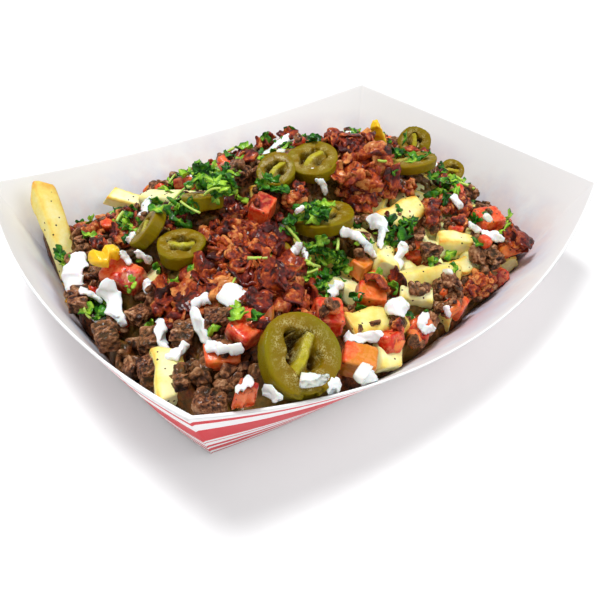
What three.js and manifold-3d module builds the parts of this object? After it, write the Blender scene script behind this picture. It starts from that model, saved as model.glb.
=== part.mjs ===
// Carne asada fries heaped in the folded paperboard tray that holds them.
// Millimetres, +Z up. +X runs along the tray, and the origin is under its middle, on the table.
import * as THREE from "three";
import { ConvexGeometry } from "three/addons/geometries/ConvexGeometry.js";
import { mergeVertices } from "three/addons/utils/BufferGeometryUtils.js";
import Module from "manifold-3d";

const wasm = await Module();
wasm.setup();

// Driving dimensions of the tray
const rimHalfLength = 107;
const rimHalfWidth = 74.5;
const rimHeight = 48;
const baseHalfLength = 91;
const baseHalfWidth = 57;
const board = 0.8;
const longWall = { rimBulge: 20, rimDip: 15, baseBow: 12.5, columns: 18 };
const shortWall = { rimBulge: 10.5, rimDip: 4.5, baseBow: 8, columns: 12 };
const glueTab = { share: 0.16, step: 0.6 };

// Driving dimensions of the food
const restingLevel = 9.5;
const mounds = [
  { at: [-16, 17], rise: 36, reach: [56, 42] },
  { at: [-70, -55], rise: 28, reach: [36, 32] },
  { at: [57, 9], rise: 26, reach: [43, 42] },
  { at: [-64, 14], rise: 8, reach: [26, 28] },
  { at: [62, -42], rise: 9, reach: [26, 22] },
  { at: [-6, -12], rise: -7, reach: [19, 14] },
  { at: [-50, 66], rise: -6, reach: [26, 15] },
];
const coreCell = 12;
const coreUneven = 1.2;
const seatGap = 0.35;
const wallGap = 0.8;
const settleStep = 0.4;
const dropHeight = 32;
const fryThick = 9.5;
const jalapenoWall = 4.2;
const leafThick = 0.8;
const creamThick = 3;
const scatter = { reachX: 96, reachY: 74, backFries: 16, crumbs: 44 };

const paint = {
  paper: { color: 0xeeeeee, roughness: 0.75 },
  fry: { color: 0xefcf74, roughness: 0.7 },
  jalapeno: { color: 0x7d8417, roughness: 0.3 },
  tomato: { color: 0xe0482f, roughness: 0.35 },
  steak: { color: 0x6b4433, roughness: 0.6 },
  bacon: { color: 0xa33a22, roughness: 0.4 },
  leaf: { color: 0x3f9a2a, roughness: 0.5 },
  onion: { color: 0xf3f1ea, roughness: 0.35 },
  cheese: { color: 0xf8c21c, roughness: 0.45 },
};

const tray = new THREE.Group();
const food = new THREE.Group();

// A seeded draw between 0 and 1, the same each run
function seeded(seed) {
  let state = seed;
  return () => {
    state = (state + 0x6d2b79f5) | 0;
    let mixed = Math.imul(state ^ (state >>> 15), 1 | state);
    mixed = (mixed + Math.imul(mixed ^ (mixed >>> 7), 61 | mixed)) ^ mixed;
    return ((mixed ^ (mixed >>> 14)) >>> 0) / 4294967296;
  };
}

function between(low, high, random) {
  return low + (high - low) * random();
}

function degrees(angle) {
  return THREE.MathUtils.degToRad(angle);
}

function finish(kind) {
  return new THREE.MeshStandardMaterial({ ...paint[kind], metalness: 0 });
}

// Closed geometry to solid and back
function solidFrom(geometry) {
  const bare = geometry.index ? geometry.toNonIndexed() : geometry.clone();
  bare.deleteAttribute("normal");
  bare.deleteAttribute("uv");
  const merged = mergeVertices(bare, 1e-4);
  return new wasm.Manifold(
    new wasm.Mesh({
      numProp: 3,
      vertProperties: merged.attributes.position.array,
      triVerts: new Uint32Array(merged.index.array),
    }),
  );
}

function geometryFrom(solid) {
  const mesh = solid.getMesh();
  const geometry = new THREE.BufferGeometry();
  geometry.setAttribute("position", new THREE.BufferAttribute(mesh.vertProperties, 3));
  geometry.setIndex(new THREE.BufferAttribute(mesh.triVerts, 1));
  return geometry;
}

// The largest outer body of a solid, without loose scraps or the skins of sealed hollows
function wholeBody(solid) {
  const bodies = solid.decompose();
  bodies.sort((a, b) => b.volume() - a.volume());
  return bodies[0];
}

// A copy of a geometry that is larger by a gap on every side
function swollen(geometry, gap) {
  geometry.computeBoundingBox();
  const size = geometry.boundingBox.getSize(new THREE.Vector3());
  const middle = geometry.boundingBox.getCenter(new THREE.Vector3());
  const copy = geometry.clone();
  copy.translate(-middle.x, -middle.y, -middle.z);
  copy.scale(1 + (2 * gap) / size.x, 1 + (2 * gap) / size.y, 1 + (2 * gap) / size.z);
  copy.translate(middle.x, middle.y, middle.z);
  return copy;
}

function placedGeometry(mesh) {
  mesh.updateMatrix();
  return mesh.geometry.clone().applyMatrix4(mesh.matrix);
}

// A solid with the box round it, for quick tests of what it touches
function blocker(geometry) {
  geometry.computeBoundingBox();
  return { box: geometry.boundingBox.clone(), solid: solidFrom(geometry) };
}

// The room that a topping takes up: its hull, larger by a gap
function guard(geometry) {
  const points = [];
  for (let i = 0; i < geometry.attributes.position.count; i += 1) {
    points.push(new THREE.Vector3().fromBufferAttribute(geometry.attributes.position, i));
  }
  return blocker(swollen(new ConvexGeometry(points), seatGap));
}

function touches(candidate, blockers) {
  return blockers.some(
    (other) =>
      candidate.box.intersectsBox(other.box) &&
      candidate.solid.intersect(other.solid).volume() > 0,
  );
}

// A point of the tray's wall at a height: u runs along the wall, and inset moves it inwards.
// Score line and rim both bow out as a parabola, and the rim dips by a parabola too.
function wallPoint(side, u, height, inset) {
  const long = side % 2 === 0;
  const wall = long ? longWall : shortWall;
  const [rimAlong, rimAcross] = long ? [rimHalfLength, rimHalfWidth] : [rimHalfWidth, rimHalfLength];
  const [baseAlong, baseAcross] = long
    ? [baseHalfLength, baseHalfWidth]
    : [baseHalfWidth, baseHalfLength];
  const bow = 1 - (2 * u - 1) ** 2;
  const rim = rimHeight - wall.rimDip * bow;
  const share = height === "rim" ? 1 : height / rim;
  const along = (2 * u - 1) * (THREE.MathUtils.lerp(baseAlong, rimAlong, share) - inset);
  const baseOut = baseAcross + wall.baseBow * bow;
  const rimOut = rimAcross + wall.rimBulge * bow;
  const out = THREE.MathUtils.lerp(baseOut, rimOut, share) - inset;
  const turn = [
    [along, -out],
    [out, along],
    [-along, out],
    [-out, -along],
  ];
  return new THREE.Vector3(...turn[side], share * rim);
}

// Places along each wall, where the glued corner tabs stand proud of the short walls
function wallColumns(longCount, shortCount, withTabs) {
  const columns = [];
  for (let side = 0; side < 4; side += 1) {
    const long = side % 2 === 0;
    const count = long ? longCount : shortCount;
    const spots = [];
    for (let i = 0; i < count; i += 1) spots.push({ side, u: i / count, proud: 0 });
    if (withTabs && !long) {
      const edge = 0.004;
      const tab = glueTab.share;
      for (const spot of spots) {
        if (spot.u > 0 && (spot.u < tab || spot.u > 1 - tab)) spot.proud = glueTab.step;
      }
      spots.push({ side, u: edge, proud: glueTab.step });
      spots.push({ side, u: tab - edge, proud: glueTab.step });
      spots.push({ side, u: tab + edge, proud: 0 });
      spots.push({ side, u: 1 - tab - edge, proud: 0 });
      spots.push({ side, u: 1 - tab + edge, proud: glueTab.step });
      spots.push({ side, u: 1 - edge, proud: glueTab.step });
      spots.sort((a, b) => a.u - b.u);
    }
    columns.push(...spots);
  }
  return columns;
}

// A closed skin from rings of points, bottom to top or round a wall, with a cap point at each end
function skinOfRings(firstCap, rings, lastCap) {
  const points = [firstCap, ...rings.flat(), lastCap];
  const count = rings[0].length;
  const faces = [];
  const at = (ring, i) => 1 + ring * count + (i % count);
  for (let i = 0; i < count; i += 1) {
    faces.push(0, at(0, i + 1), at(0, i));
    for (let ring = 0; ring + 1 < rings.length; ring += 1) {
      faces.push(at(ring, i), at(ring, i + 1), at(ring + 1, i + 1));
      faces.push(at(ring, i), at(ring + 1, i + 1), at(ring + 1, i));
    }
    faces.push(at(rings.length - 1, i), at(rings.length - 1, i + 1), points.length - 1);
  }
  const geometry = new THREE.BufferGeometry().setFromPoints(points);
  geometry.setIndex(faces);
  return geometry;
}

function trayGeometry() {
  const columns = wallColumns(longWall.columns, shortWall.columns, true);
  const inset = board * 1.15;
  const outer = (height) => columns.map((c) => wallPoint(c.side, c.u, height(c), -c.proud));
  const inner = (height) => columns.map((c) => wallPoint(c.side, c.u, height(c), inset));
  const middle = () => rimHeight / 2;
  const rings = [
    outer(() => 0),
    outer(middle),
    outer(() => "rim"),
    inner(() => "rim"),
    inner(middle),
    inner(() => board),
  ];
  return skinOfRings(new THREE.Vector3(), rings, new THREE.Vector3(0, 0, board));
}

// The room inside the tray, with a peak well above the heap
function insideTray() {
  const columns = wallColumns(8, 6, false);
  const inset = board * 1.15 + wallGap;
  const floor = board + seatGap;
  const peak = new THREE.Vector3(0, 0, rimHeight * 3);
  const ring = (height) => columns.map((c) => wallPoint(c.side, c.u, height, inset));
  const rings = [ring(floor), ring(rimHeight / 2), ring("rim")];
  return solidFrom(skinOfRings(new THREE.Vector3(0, 0, floor), rings, peak));
}

// Height of the bare core: a low bed with a few smooth mounds on it
function coreTop(x, y) {
  let height = restingLevel;
  for (const { at, rise, reach } of mounds) {
    const across = (x - at[0]) / reach[0];
    const along = (y - at[1]) / reach[1];
    height += rise * Math.exp(-across * across - along * along);
  }
  return height;
}

// The bare core: a block with the mounds as its top, cut to the room inside the tray
function coreGeometry(room) {
  const random = seeded(11);
  const reachX = rimHalfLength + shortWall.rimBulge;
  const reachY = rimHalfWidth + longWall.rimBulge;
  const countX = Math.ceil((2 * reachX) / coreCell);
  const countY = Math.ceil((2 * reachY) / coreCell);
  const block = new THREE.BoxGeometry(2 * reachX, 2 * reachY, 1, countX, countY, 1);
  block.deleteAttribute("normal");
  block.deleteAttribute("uv");
  const merged = mergeVertices(block, 1e-3);
  const points = merged.attributes.position;
  for (let i = 0; i < points.count; i += 1) {
    const [x, y] = [points.getX(i), points.getY(i)];
    const bump = between(-coreUneven, coreUneven, random);
    points.setZ(i, points.getZ(i) > 0 ? coreTop(x, y) + bump : -1);
  }
  return geometryFrom(wholeBody(solidFrom(merged).intersect(room)));
}

// A chopped piece: an uneven box with each corner cut off
function choppedPiece([length, width, height], cut, uneven, random) {
  const points = [];
  for (const x of [-0.5, 0.5]) {
    for (const y of [-0.5, 0.5]) {
      for (const z of [-0.5, 0.5]) {
        const corner = new THREE.Vector3(x * length, y * width, z * height);
        corner.multiplyScalar(1 - uneven * random());
        points.push(corner.clone().setX(corner.x * (1 - cut)));
        points.push(corner.clone().setY(corner.y * (1 - cut)));
        points.push(corner.clone().setZ(corner.z * (1 - cut)));
      }
    }
  }
  return new ConvexGeometry(points);
}

// A lump: the hull of an uneven ball
function lump([length, width, height], uneven, random) {
  const ball = new THREE.IcosahedronGeometry(0.5, 0);
  const corners = mergeVertices(ball.deleteAttribute("normal").deleteAttribute("uv"), 1e-4);
  const points = [];
  for (let i = 0; i < corners.attributes.position.count; i += 1) {
    const point = new THREE.Vector3().fromBufferAttribute(corners.attributes.position, i);
    point.multiplyScalar(1 + between(-uneven, uneven, random));
    points.push(point.multiply(new THREE.Vector3(length, width, height)));
  }
  return new ConvexGeometry(points);
}

// A slice of pickled pepper: a slightly uneven ring with a rib across its hole
function jalapenoSlice({ radius, thick }, random) {
  const hole = radius - jalapenoWall * (radius > 8 ? 1 : 0.8);
  const half = thick / 2;
  const outline = [
    [hole, -half],
    [radius, -half],
    [radius, half],
    [hole, half],
    [hole, -half],
  ];
  const ring = new THREE.LatheGeometry(
    outline.map(([r, z]) => new THREE.Vector2(r, z)),
    16,
  );
  ring.rotateX(Math.PI / 2);
  const rib = new THREE.BoxGeometry(2 * hole + 1, hole * 0.45, thick * 0.7);
  const joined = geometryFrom(wholeBody(solidFrom(ring).add(solidFrom(rib))));
  const points = joined.attributes.position;
  const phase = between(0, 2 * Math.PI, random);
  for (let i = 0; i < points.count; i += 1) {
    const around = Math.atan2(points.getY(i), points.getX(i));
    const swell = 1 + 0.04 * Math.sin(3 * around + phase);
    points.setX(i, points.getX(i) * swell);
    points.setY(i, points.getY(i) * swell * 0.94);
  }
  return joined;
}

// One leaflet: a lobed outline that waves up and down, both faces split alike
function leaflet(reach, lobes, random) {
  const count = 10;
  const phase = between(0, 2 * Math.PI, random);
  const faceOf = (lift) => {
    const ring = [];
    for (let i = 0; i < count; i += 1) {
      const around = (2 * Math.PI * i) / count;
      const radius = reach * (0.68 + 0.32 * Math.cos(lobes * around));
      const wave = 0.16 * reach * Math.sin(2 * around + phase);
      ring.push(new THREE.Vector3(radius * Math.cos(around), radius * Math.sin(around), wave + lift));
    }
    return ring;
  };
  const half = leafThick / 2;
  return skinOfRings(
    new THREE.Vector3(0, 0, -half),
    [faceOf(-half), faceOf(half)],
    new THREE.Vector3(0, 0, half),
  );
}

// A sprig: two leaflets grown together at the middle
function sprig({ reach }, random) {
  const first = leaflet(reach * 0.62, 3, random).translate(-reach * 0.36, 0, 0);
  const second = leaflet(reach * 0.56, 3, random);
  second.rotateX(0.5);
  second.rotateZ(0.8);
  second.translate(reach * 0.32, reach * 0.1, 0.4);
  return geometryFrom(wholeBody(solidFrom(first).add(solidFrom(second))));
}

// A strip of shredded cheese that tapers along a bent line
function cheeseStrip({ line, width, thick }) {
  const curve = new THREE.CatmullRomCurve3(line.map((point) => new THREE.Vector3(...point)));
  const stations = 5;
  const rings = [];
  for (let i = 0; i <= stations; i += 1) {
    const share = i / stations;
    const centre = curve.getPoint(share);
    const along = curve.getTangent(share);
    const side = new THREE.Vector3(0.55, -0.83, 0).normalize();
    const up = new THREE.Vector3().crossVectors(along, side).normalize();
    const halfWidth = (width / 2) * (1 - 0.8 * share * share);
    const corners = [
      [-1, -1],
      [1, -1],
      [1, 1],
      [-1, 1],
    ];
    rings.push(
      corners.map(([a, b]) =>
        centre
          .clone()
          .addScaledVector(side, a * halfWidth)
          .addScaledVector(up, (b * thick) / 2),
      ),
    );
  }
  return skinOfRings(curve.getPoint(0), rings, curve.getPoint(1));
}

// A straight-cut fry between two points, a little bent and uneven
function fryBetween(from, to, thick, random) {
  const start = new THREE.Vector3(...from);
  const end = new THREE.Vector3(...to);
  const length = start.distanceTo(end);
  const stick = new THREE.BoxGeometry(length, thick * between(0.9, 1.15, random), thick, 3, 1, 1);
  const points = stick.attributes.position;
  const bend = between(-0.03, 0.03, random) * length;
  const slant = between(-0.25, 0.25, random);
  for (let i = 0; i < points.count; i += 1) {
    const share = (2 * points.getX(i)) / length;
    points.setX(i, points.getX(i) + slant * points.getY(i) * share * share);
    points.setY(i, points.getY(i) * (1 - 0.12 * share) + bend * (1 - share * share));
    points.setZ(i, points.getZ(i) * (1 + 0.08 * share));
  }
  stick.rotateX(between(-0.5, 0.5, random));
  const turn = new THREE.Quaternion().setFromUnitVectors(
    new THREE.Vector3(1, 0, 0),
    end.clone().sub(start).normalize(),
  );
  stick.applyQuaternion(turn);
  const middle = start.add(end).multiplyScalar(0.5);
  return stick.translate(middle.x, middle.y, middle.z);
}

// A thin crisp flake of bacon
function baconFlake(size, random) {
  const points = [];
  const half = between(0.9, 1.4, random) / 2;
  for (let i = 0; i < 5; i += 1) {
    const around = (2 * Math.PI * i) / 5;
    const radius = size * between(0.34, 0.56, random);
    const curl = between(-1, 1, random);
    for (const side of [-half, half]) {
      const x = radius * Math.cos(around) * 1.25;
      points.push(new THREE.Vector3(x, radius * Math.sin(around), side + curl));
    }
  }
  return new ConvexGeometry(points);
}

// Lowers a mesh over a spot until it meets what lies there already, or is sunk enough in the core
function setDown(mesh, [x, y], half, blockers) {
  const lowest = coreTop(x, y) + half;
  mesh.position.set(x, y, lowest + dropHeight);
  while (mesh.position.z > lowest && !touches(guard(placedGeometry(mesh)), blockers)) {
    mesh.position.z -= settleStep;
  }
  if (touches(guard(placedGeometry(mesh)), blockers)) mesh.position.z += settleStep;
  food.add(mesh);
  return guard(placedGeometry(mesh));
}

// Turns a mesh about its own axis, then leans its top by an angle toward a compass direction
function lean(mesh, { lean: angle = 0, toward = 0, spin = 0 }) {
  const axis = new THREE.Vector3(-Math.sin(degrees(toward)), Math.cos(degrees(toward)), 0);
  const tilt = new THREE.Quaternion().setFromAxisAngle(axis, degrees(angle));
  const turn = new THREE.Quaternion().setFromAxisAngle(new THREE.Vector3(0, 0, 1), degrees(spin));
  mesh.quaternion.copy(tilt.multiply(turn));
}

// Fries that stand out of the heap, from one end to the other
const shownFries = [
  { from: [-93, 42, 14], to: [-89.5, 67, 40], thick: 8.5 },
  { from: [-40, 44, 24], to: [-60, 72, 28], thick: 7 },
  { from: [-34, 28, 36], to: [-50, 55, 31], thick: 7.5 },
  { from: [18, -25, 32], to: [42, -27, 34], thick: 11 },
  { from: [6, -48, 22], to: [34, -57, 20], thick: 9.5 },
  { from: [35, -56, 19], to: [66, -55, 18], thick: 9 },
  { from: [38, -43, 26], to: [50, -53, 25], thick: 9 },
  { from: [13, -33, 26], to: [4, -44, 26], thick: 9.5 },
  { from: [-33, -59, 25], to: [-13, -66, 22], thick: 11 },
  { from: [-19, -65, 22], to: [-29, -77, 17], thick: 9 },
  { from: [-88, -38, 28], to: [-94, -55, 27], thick: 9 },
  { from: [2, -54, 21], to: [12, -63, 20], thick: 8.5 },
];

const jalapenos = [
  { at: [-69.5, -72], radius: 12.6, thick: 9, lean: 33, toward: -86, spin: 50 },
  { at: [-64, 1], radius: 9.2, thick: 7, lean: 4, toward: -130, spin: 20 },
  { at: [-68, 17], radius: 9, thick: 5, lean: 50, toward: 140, spin: 0 },
  { at: [-7, -16], radius: 13, thick: 5.5, lean: 12, toward: 99, spin: 20 },
  { at: [7, 8], radius: 11.5, thick: 6, lean: 14, toward: -165, spin: 60 },
  { at: [-12.5, 9], radius: 8.2, thick: 5, lean: 30, toward: -140, spin: 10 },
  { at: [54, -9], radius: 12.5, thick: 4.6, lean: 10, toward: 95, spin: 150 },
  { at: [73, 5], radius: 8.5, thick: 4.5, lean: 55, toward: -134, spin: 0 },
  { at: [90, -10], radius: 6.5, thick: 5, lean: 36, toward: -134, spin: 0 },
  { at: [-32, -17], radius: 7, thick: 4.5, lean: 14, toward: -100, spin: 80 },
  { at: [-46, 13], radius: 8.5, thick: 5.5, lean: 22, toward: 60, spin: 30 },
  { at: [18, 44], radius: 11, thick: 5.5, lean: 26, toward: 80, spin: 30 },
];

const tomatoes = [
  { at: [-85, 9], size: [16, 11, 9], spin: -60, lean: 18, toward: -140 },
  { at: [-28, -2], size: [12, 9, 9], spin: 30, lean: 12, toward: -100 },
  { at: [69, -48], size: [14, 12, 9], spin: -20, lean: 10, toward: -120 },
  { at: [25, -41], size: [11, 8, 7], spin: -25, lean: 14, toward: -90 },
  { at: [-3, -36], size: [9, 8, 8], spin: 10, lean: 8, toward: -60 },
  { at: [-14, -52], size: [12, 10, 8], spin: -45, lean: 15, toward: -110 },
  { at: [-41, -56], size: [14, 11, 9], spin: 55, lean: 10, toward: -60 },
  { at: [-83, -53], size: [12, 8, 6], spin: -30, lean: 12, toward: -120 },
  { at: [-74, -54], size: [13, 10, 7], spin: 10, lean: 10, toward: -90 },
  { at: [-92, -77], size: [8, 6, 6], spin: 40, lean: 10, toward: -60 },
  { at: [-47, -77], size: [12, 10, 9], spin: -50, lean: 10, toward: -110 },
  { at: [-6, -70], size: [10, 8, 6], spin: -30, lean: 8, toward: -90 },
  { at: [79, -60], size: [10, 8, 7], spin: -15, lean: 15, toward: -70 },
  { at: [22, -69], size: [11, 8, 7], spin: 15, lean: 8, toward: -90 },
  { at: [-30, 50], size: [13, 11, 8], spin: 35, lean: 24, toward: 85 },
  { at: [62, 40], size: [12, 11, 8], spin: -25, lean: 24, toward: 70 },
];

const steakPieces = [
  { at: [-103, -12], size: [12, 8, 8], spin: 80 },
  { at: [-92, -22], size: [11, 8, 8], spin: 60 },
  { at: [-99, -34], size: [11, 8, 8], spin: 80 },
  { at: [-95, -64], size: [11, 8, 8], spin: -50 },
  { at: [-96, -50], size: [11, 5, 4], spin: 60 },
  { at: [-85, 45], size: [8, 7, 6], spin: 20 },
  { at: [-92, 25], size: [10, 8, 8], spin: -40 },
  { at: [-101, 14], size: [13, 8, 7], spin: 60 },
  { at: [-88, -8], size: [9, 8, 7], spin: 15 },
  { at: [-75, -40], size: [11, 9, 7], spin: -30 },
  { at: [-84, -31], size: [11, 8, 7], spin: 50 },
  { at: [-25, 17], size: [9, 8, 9], spin: 35 },
  { at: [50, -65], size: [8, 7, 10], spin: 75 },
  { at: [26, -48], size: [9, 8, 7], spin: -20 },
  { at: [1, -31], size: [9, 7, 7], spin: 40 },
  { at: [-8, 52], size: [12, 9, 8], spin: 60 },
  { at: [88, 18], size: [12, 10, 8], spin: -60 },
];

const sprigs = [
  { at: [-38, 22], reach: 9, lean: 30, toward: -120, spin: 40 },
  { at: [-12, -17], reach: 9, lean: 20, toward: 90, spin: 10 },
  { at: [-22, -35], reach: 9, lean: 20, toward: -110, spin: 100 },
  { at: [-42, 6], reach: 8, lean: 25, toward: -100, spin: 60 },
  { at: [90, -24], reach: 8, lean: 20, toward: -110, spin: 20 },
];

const onions = [
  { at: [-74, -84], size: [9, 6, 3], spin: -45, lean: 15, toward: -90 },
  { at: [-55, -85], size: [7, 4, 3], spin: 20, lean: 20, toward: -90 },
  { at: [-14, -65], size: [8, 6, 3.5], spin: -10, lean: 10, toward: -90 },
];

const cheeseStrips = [
  { at: [56, 12], width: 8, thick: 1.4, line: [[0, 0, 0], [-1, 2, 6], [-3, 1, 10], [-3, 3, 15]] },
  { at: [-88, 13], width: 7, thick: 2.4, line: [[-5, -1, 0], [-2, 0, 3], [2, 0, 3], [5, 0, 0]] },
];

const baconPiles = [
  { name: "bacon_main", at: [-50, -14], reach: [33, 16], spin: 4, rise: 6, flakes: 34 },
  { name: "bacon_back", at: [32, 3], reach: [32, 13], spin: -14, rise: 6, flakes: 26 },
  { name: "bacon_front", at: [-44, -43], reach: [13, 10], spin: 20, rise: 5, flakes: 12 },
];

// Upright flakes that make the crest of the pile at the back
const crestFlakes = [
  { at: [27, 12], height: 16, lean: 70, toward: -40, spin: 90, size: 13 },
  { at: [34, 9], height: 12, lean: 62, toward: -90, spin: 40, size: 11 },
  { at: [21, 15], height: 11, lean: 66, toward: -120, spin: 70, size: 10 },
];

// Thick cream as short trails on the heap between the toppings
const creamTrails = [
  [[-96, 31], [-95, 27]],
  [[-94, 6], [-93, 0], [-96, -3]],
  [[-90, -26], [-92, -31]],
  [[-82, -22], [-79, -26]],
  [[15, -24], [12, -28], [11, -33]],
  [[2, -26], [7, -30]],
  [[58, -54], [61, -52]],
  [[74, -52], [78, -55]],
  [[-62, -34], [-66, -36]],
  [[-33, -72], [-36, -70]],
  [[72, -12], [76, -16]],
  [[-20, 60], [-26, 56]],
  [[40, 48], [46, 44]],
];

// The tray
const trayMesh = new THREE.Mesh(trayGeometry(), finish("paper"));
trayMesh.name = "tray";
tray.add(trayMesh);
const room = insideTray();
const trayBlocker = blocker(trayMesh.geometry);

// The bare core with the shown fries, which the toppings rest on
const bareCore = coreGeometry(room);
let heap = solidFrom(bareCore);
const fryRandom = seeded(21);
for (const { from, to, thick } of shownFries) {
  const stick = solidFrom(fryBetween(from, to, thick, fryRandom));
  heap = heap.add(stick.intersect(room));
}
heap = wholeBody(heap);
const blockers = [trayBlocker, blocker(geometryFrom(heap))];

// Toppings, each set down on what lies below it
function addTopping(kind, index, geometry, placing, half) {
  const mesh = new THREE.Mesh(geometry, finish(kind === "sprig" ? "leaf" : kind));
  mesh.name = `${kind}_${index + 1}`;
  lean(mesh, placing);
  blockers.push(setDown(mesh, placing.at, half, blockers));
}

const shapeRandom = seeded(31);
tomatoes.forEach((tomato, index) => {
  const shape = choppedPiece(tomato.size, 0.16, 0.16, shapeRandom);
  addTopping("tomato", index, shape, tomato, tomato.size[2] * 0.35);
});
steakPieces.forEach((piece, index) => {
  const shape = choppedPiece(piece.size, 0.34, 0.22, shapeRandom);
  addTopping("steak", index, shape, piece, piece.size[2] * 0.3);
});
jalapenos.forEach((slice, index) => {
  addTopping("jalapeno", index, jalapenoSlice(slice, shapeRandom), slice, slice.thick * 0.4);
});
cheeseStrips.forEach((strip, index) => {
  addTopping("cheese", index, cheeseStrip(strip), strip, strip.thick);
});
onions.forEach((onion, index) => {
  const shape = choppedPiece(onion.size, 0.25, 0.2, shapeRandom);
  addTopping("onion", index, shape, onion, onion.size[2] * 0.5);
});
sprigs.forEach((leaf, index) => {
  addTopping("sprig", index, sprig(leaf, shapeRandom), leaf, leafThick);
});

// A pile of crumbled bacon: a low dome over the core with flakes grown into it
function baconPile({ at, reach, spin, rise }) {
  const spokes = 14;
  const shares = [1, 0.72, 0.4];
  const placeAt = (share, around) => {
    const x = reach[0] * share * Math.cos(around);
    const y = reach[1] * share * Math.sin(around);
    const turned = new THREE.Vector2(x, y).rotateAround(new THREE.Vector2(), degrees(spin));
    return turned.add(new THREE.Vector2(...at));
  };
  const ring = (share, height) => {
    const points = [];
    for (let i = 0; i < spokes; i += 1) {
      const spot = placeAt(share, (2 * Math.PI * i) / spokes);
      points.push(new THREE.Vector3(spot.x, spot.y, coreTop(spot.x, spot.y) + height));
    }
    return points;
  };
  const dome = (share) => rise * (1 - share * share) + 1;
  const rings = [
    ...shares.toReversed().map((share) => ring(share, -5)),
    ...shares.map((share) => ring(share, dome(share))),
  ];
  const middle = coreTop(...at);
  const cap = new THREE.Vector3(...at, middle - 5);
  return solidFrom(skinOfRings(cap, rings, new THREE.Vector3(...at, middle + dome(0))));
}

const raisedHeap = [trayBlocker, blocker(geometryFrom(heap).translate(0, 0, seatGap))];
const toppings = blockers.slice(2);

function clearOf(geometry, others) {
  return !touches(blocker(geometry), others);
}

const flakeRandom = seeded(41);
for (const pile of baconPiles) {
  let body = baconPile(pile);
  for (const other of [...raisedHeap, ...toppings]) body = body.subtract(other.solid);
  body = wholeBody(body);
  for (let i = 0; i < pile.flakes; i += 1) {
    const share = Math.sqrt(flakeRandom());
    const around = between(0, 2 * Math.PI, flakeRandom);
    const offset = new THREE.Vector2(
      pile.reach[0] * share * Math.cos(around),
      pile.reach[1] * share * Math.sin(around),
    );
    offset.rotateAround(new THREE.Vector2(), degrees(pile.spin));
    const [x, y] = [pile.at[0] + offset.x, pile.at[1] + offset.y];
    const flake = baconFlake(between(7, 11, flakeRandom), flakeRandom);
    flake.rotateX(between(-0.8, 0.8, flakeRandom));
    flake.rotateY(between(-0.8, 0.8, flakeRandom));
    flake.rotateZ(between(0, Math.PI, flakeRandom));
    flake.translate(x, y, coreTop(x, y) + pile.rise * (1 - share * share) + 1.8);
    if (clearOf(flake, [...raisedHeap, ...toppings])) body = body.add(solidFrom(flake));
  }
  if (pile.name === "bacon_back") {
    for (const crest of crestFlakes) {
      const flake = new THREE.Mesh(baconFlake(crest.size, flakeRandom));
      lean(flake, crest);
      flake.position.set(...crest.at, coreTop(...crest.at) + crest.height * 0.5);
      const geometry = placedGeometry(flake);
      if (clearOf(geometry, [...raisedHeap, ...toppings])) body = body.add(solidFrom(geometry));
    }
  }
  const mesh = new THREE.Mesh(geometryFrom(wholeBody(body)), finish("bacon"));
  mesh.name = pile.name;
  food.add(mesh);
  blockers.push(blocker(swollen(mesh.geometry, seatGap)));
}

// Pieces fused to the heap wherever they are clear of the nodes above it
const others = blockers.slice(2);

function fuse(geometry) {
  if (!clearOf(geometry, others)) return false;
  heap = heap.add(solidFrom(geometry).intersect(room));
  return true;
}

function scatterSpot(random) {
  const x = between(-scatter.reachX, scatter.reachX, random);
  const y = between(-scatter.reachY, scatter.reachY, random);
  return [x, y];
}

const scatterRandom = seeded(51);
let backFries = 0;
for (let tries = 0; tries < 160 && backFries < scatter.backFries; tries += 1) {
  const [x, y] = scatterSpot(scatterRandom);
  const around = between(0, Math.PI, scatterRandom);
  const half = between(16, 30, scatterRandom);
  const [dx, dy] = [half * Math.cos(around), half * Math.sin(around)];
  if ((y < 22 && x < 76) || x < -52) continue;
  const from = [x - dx, y - dy, coreTop(x - dx, y - dy) + 2];
  const to = [x + dx, y + dy, coreTop(x + dx, y + dy) + 3];
  if (fuse(fryBetween(from, to, fryThick * between(0.85, 1.05, scatterRandom), scatterRandom))) {
    backFries += 1;
  }
}

let crumbs = 0;
for (let tries = 0; tries < 400 && crumbs < scatter.crumbs; tries += 1) {
  const [x, y] = scatterSpot(scatterRandom);
  const size = between(6, 10, scatterRandom);
  const piece = lump([size * 1.3, size, size * 0.85], 0.22, scatterRandom);
  piece.rotateX(between(-0.4, 0.4, scatterRandom));
  piece.rotateZ(between(0, Math.PI, scatterRandom));
  piece.translate(x, y, coreTop(x, y) + size * 0.2);
  if (fuse(piece)) crumbs += 1;
}

for (const trail of creamTrails) {
  for (const [x, y] of trail) {
    const blob = lump([8, 6, creamThick], 0.15, scatterRandom);
    blob.rotateZ(between(0, Math.PI, scatterRandom));
    fuse(blob.translate(x, y, coreTop(x, y) + creamThick * 0.4));
  }
}

const heapMesh = new THREE.Mesh(geometryFrom(wholeBody(heap)), finish("fry"));
heapMesh.name = "fries_heap";
food.add(heapMesh);

const model = new THREE.Group();
model.add(tray, food);

export default model;
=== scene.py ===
import bpy
import numpy as np
from mathutils import Matrix, Vector


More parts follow.
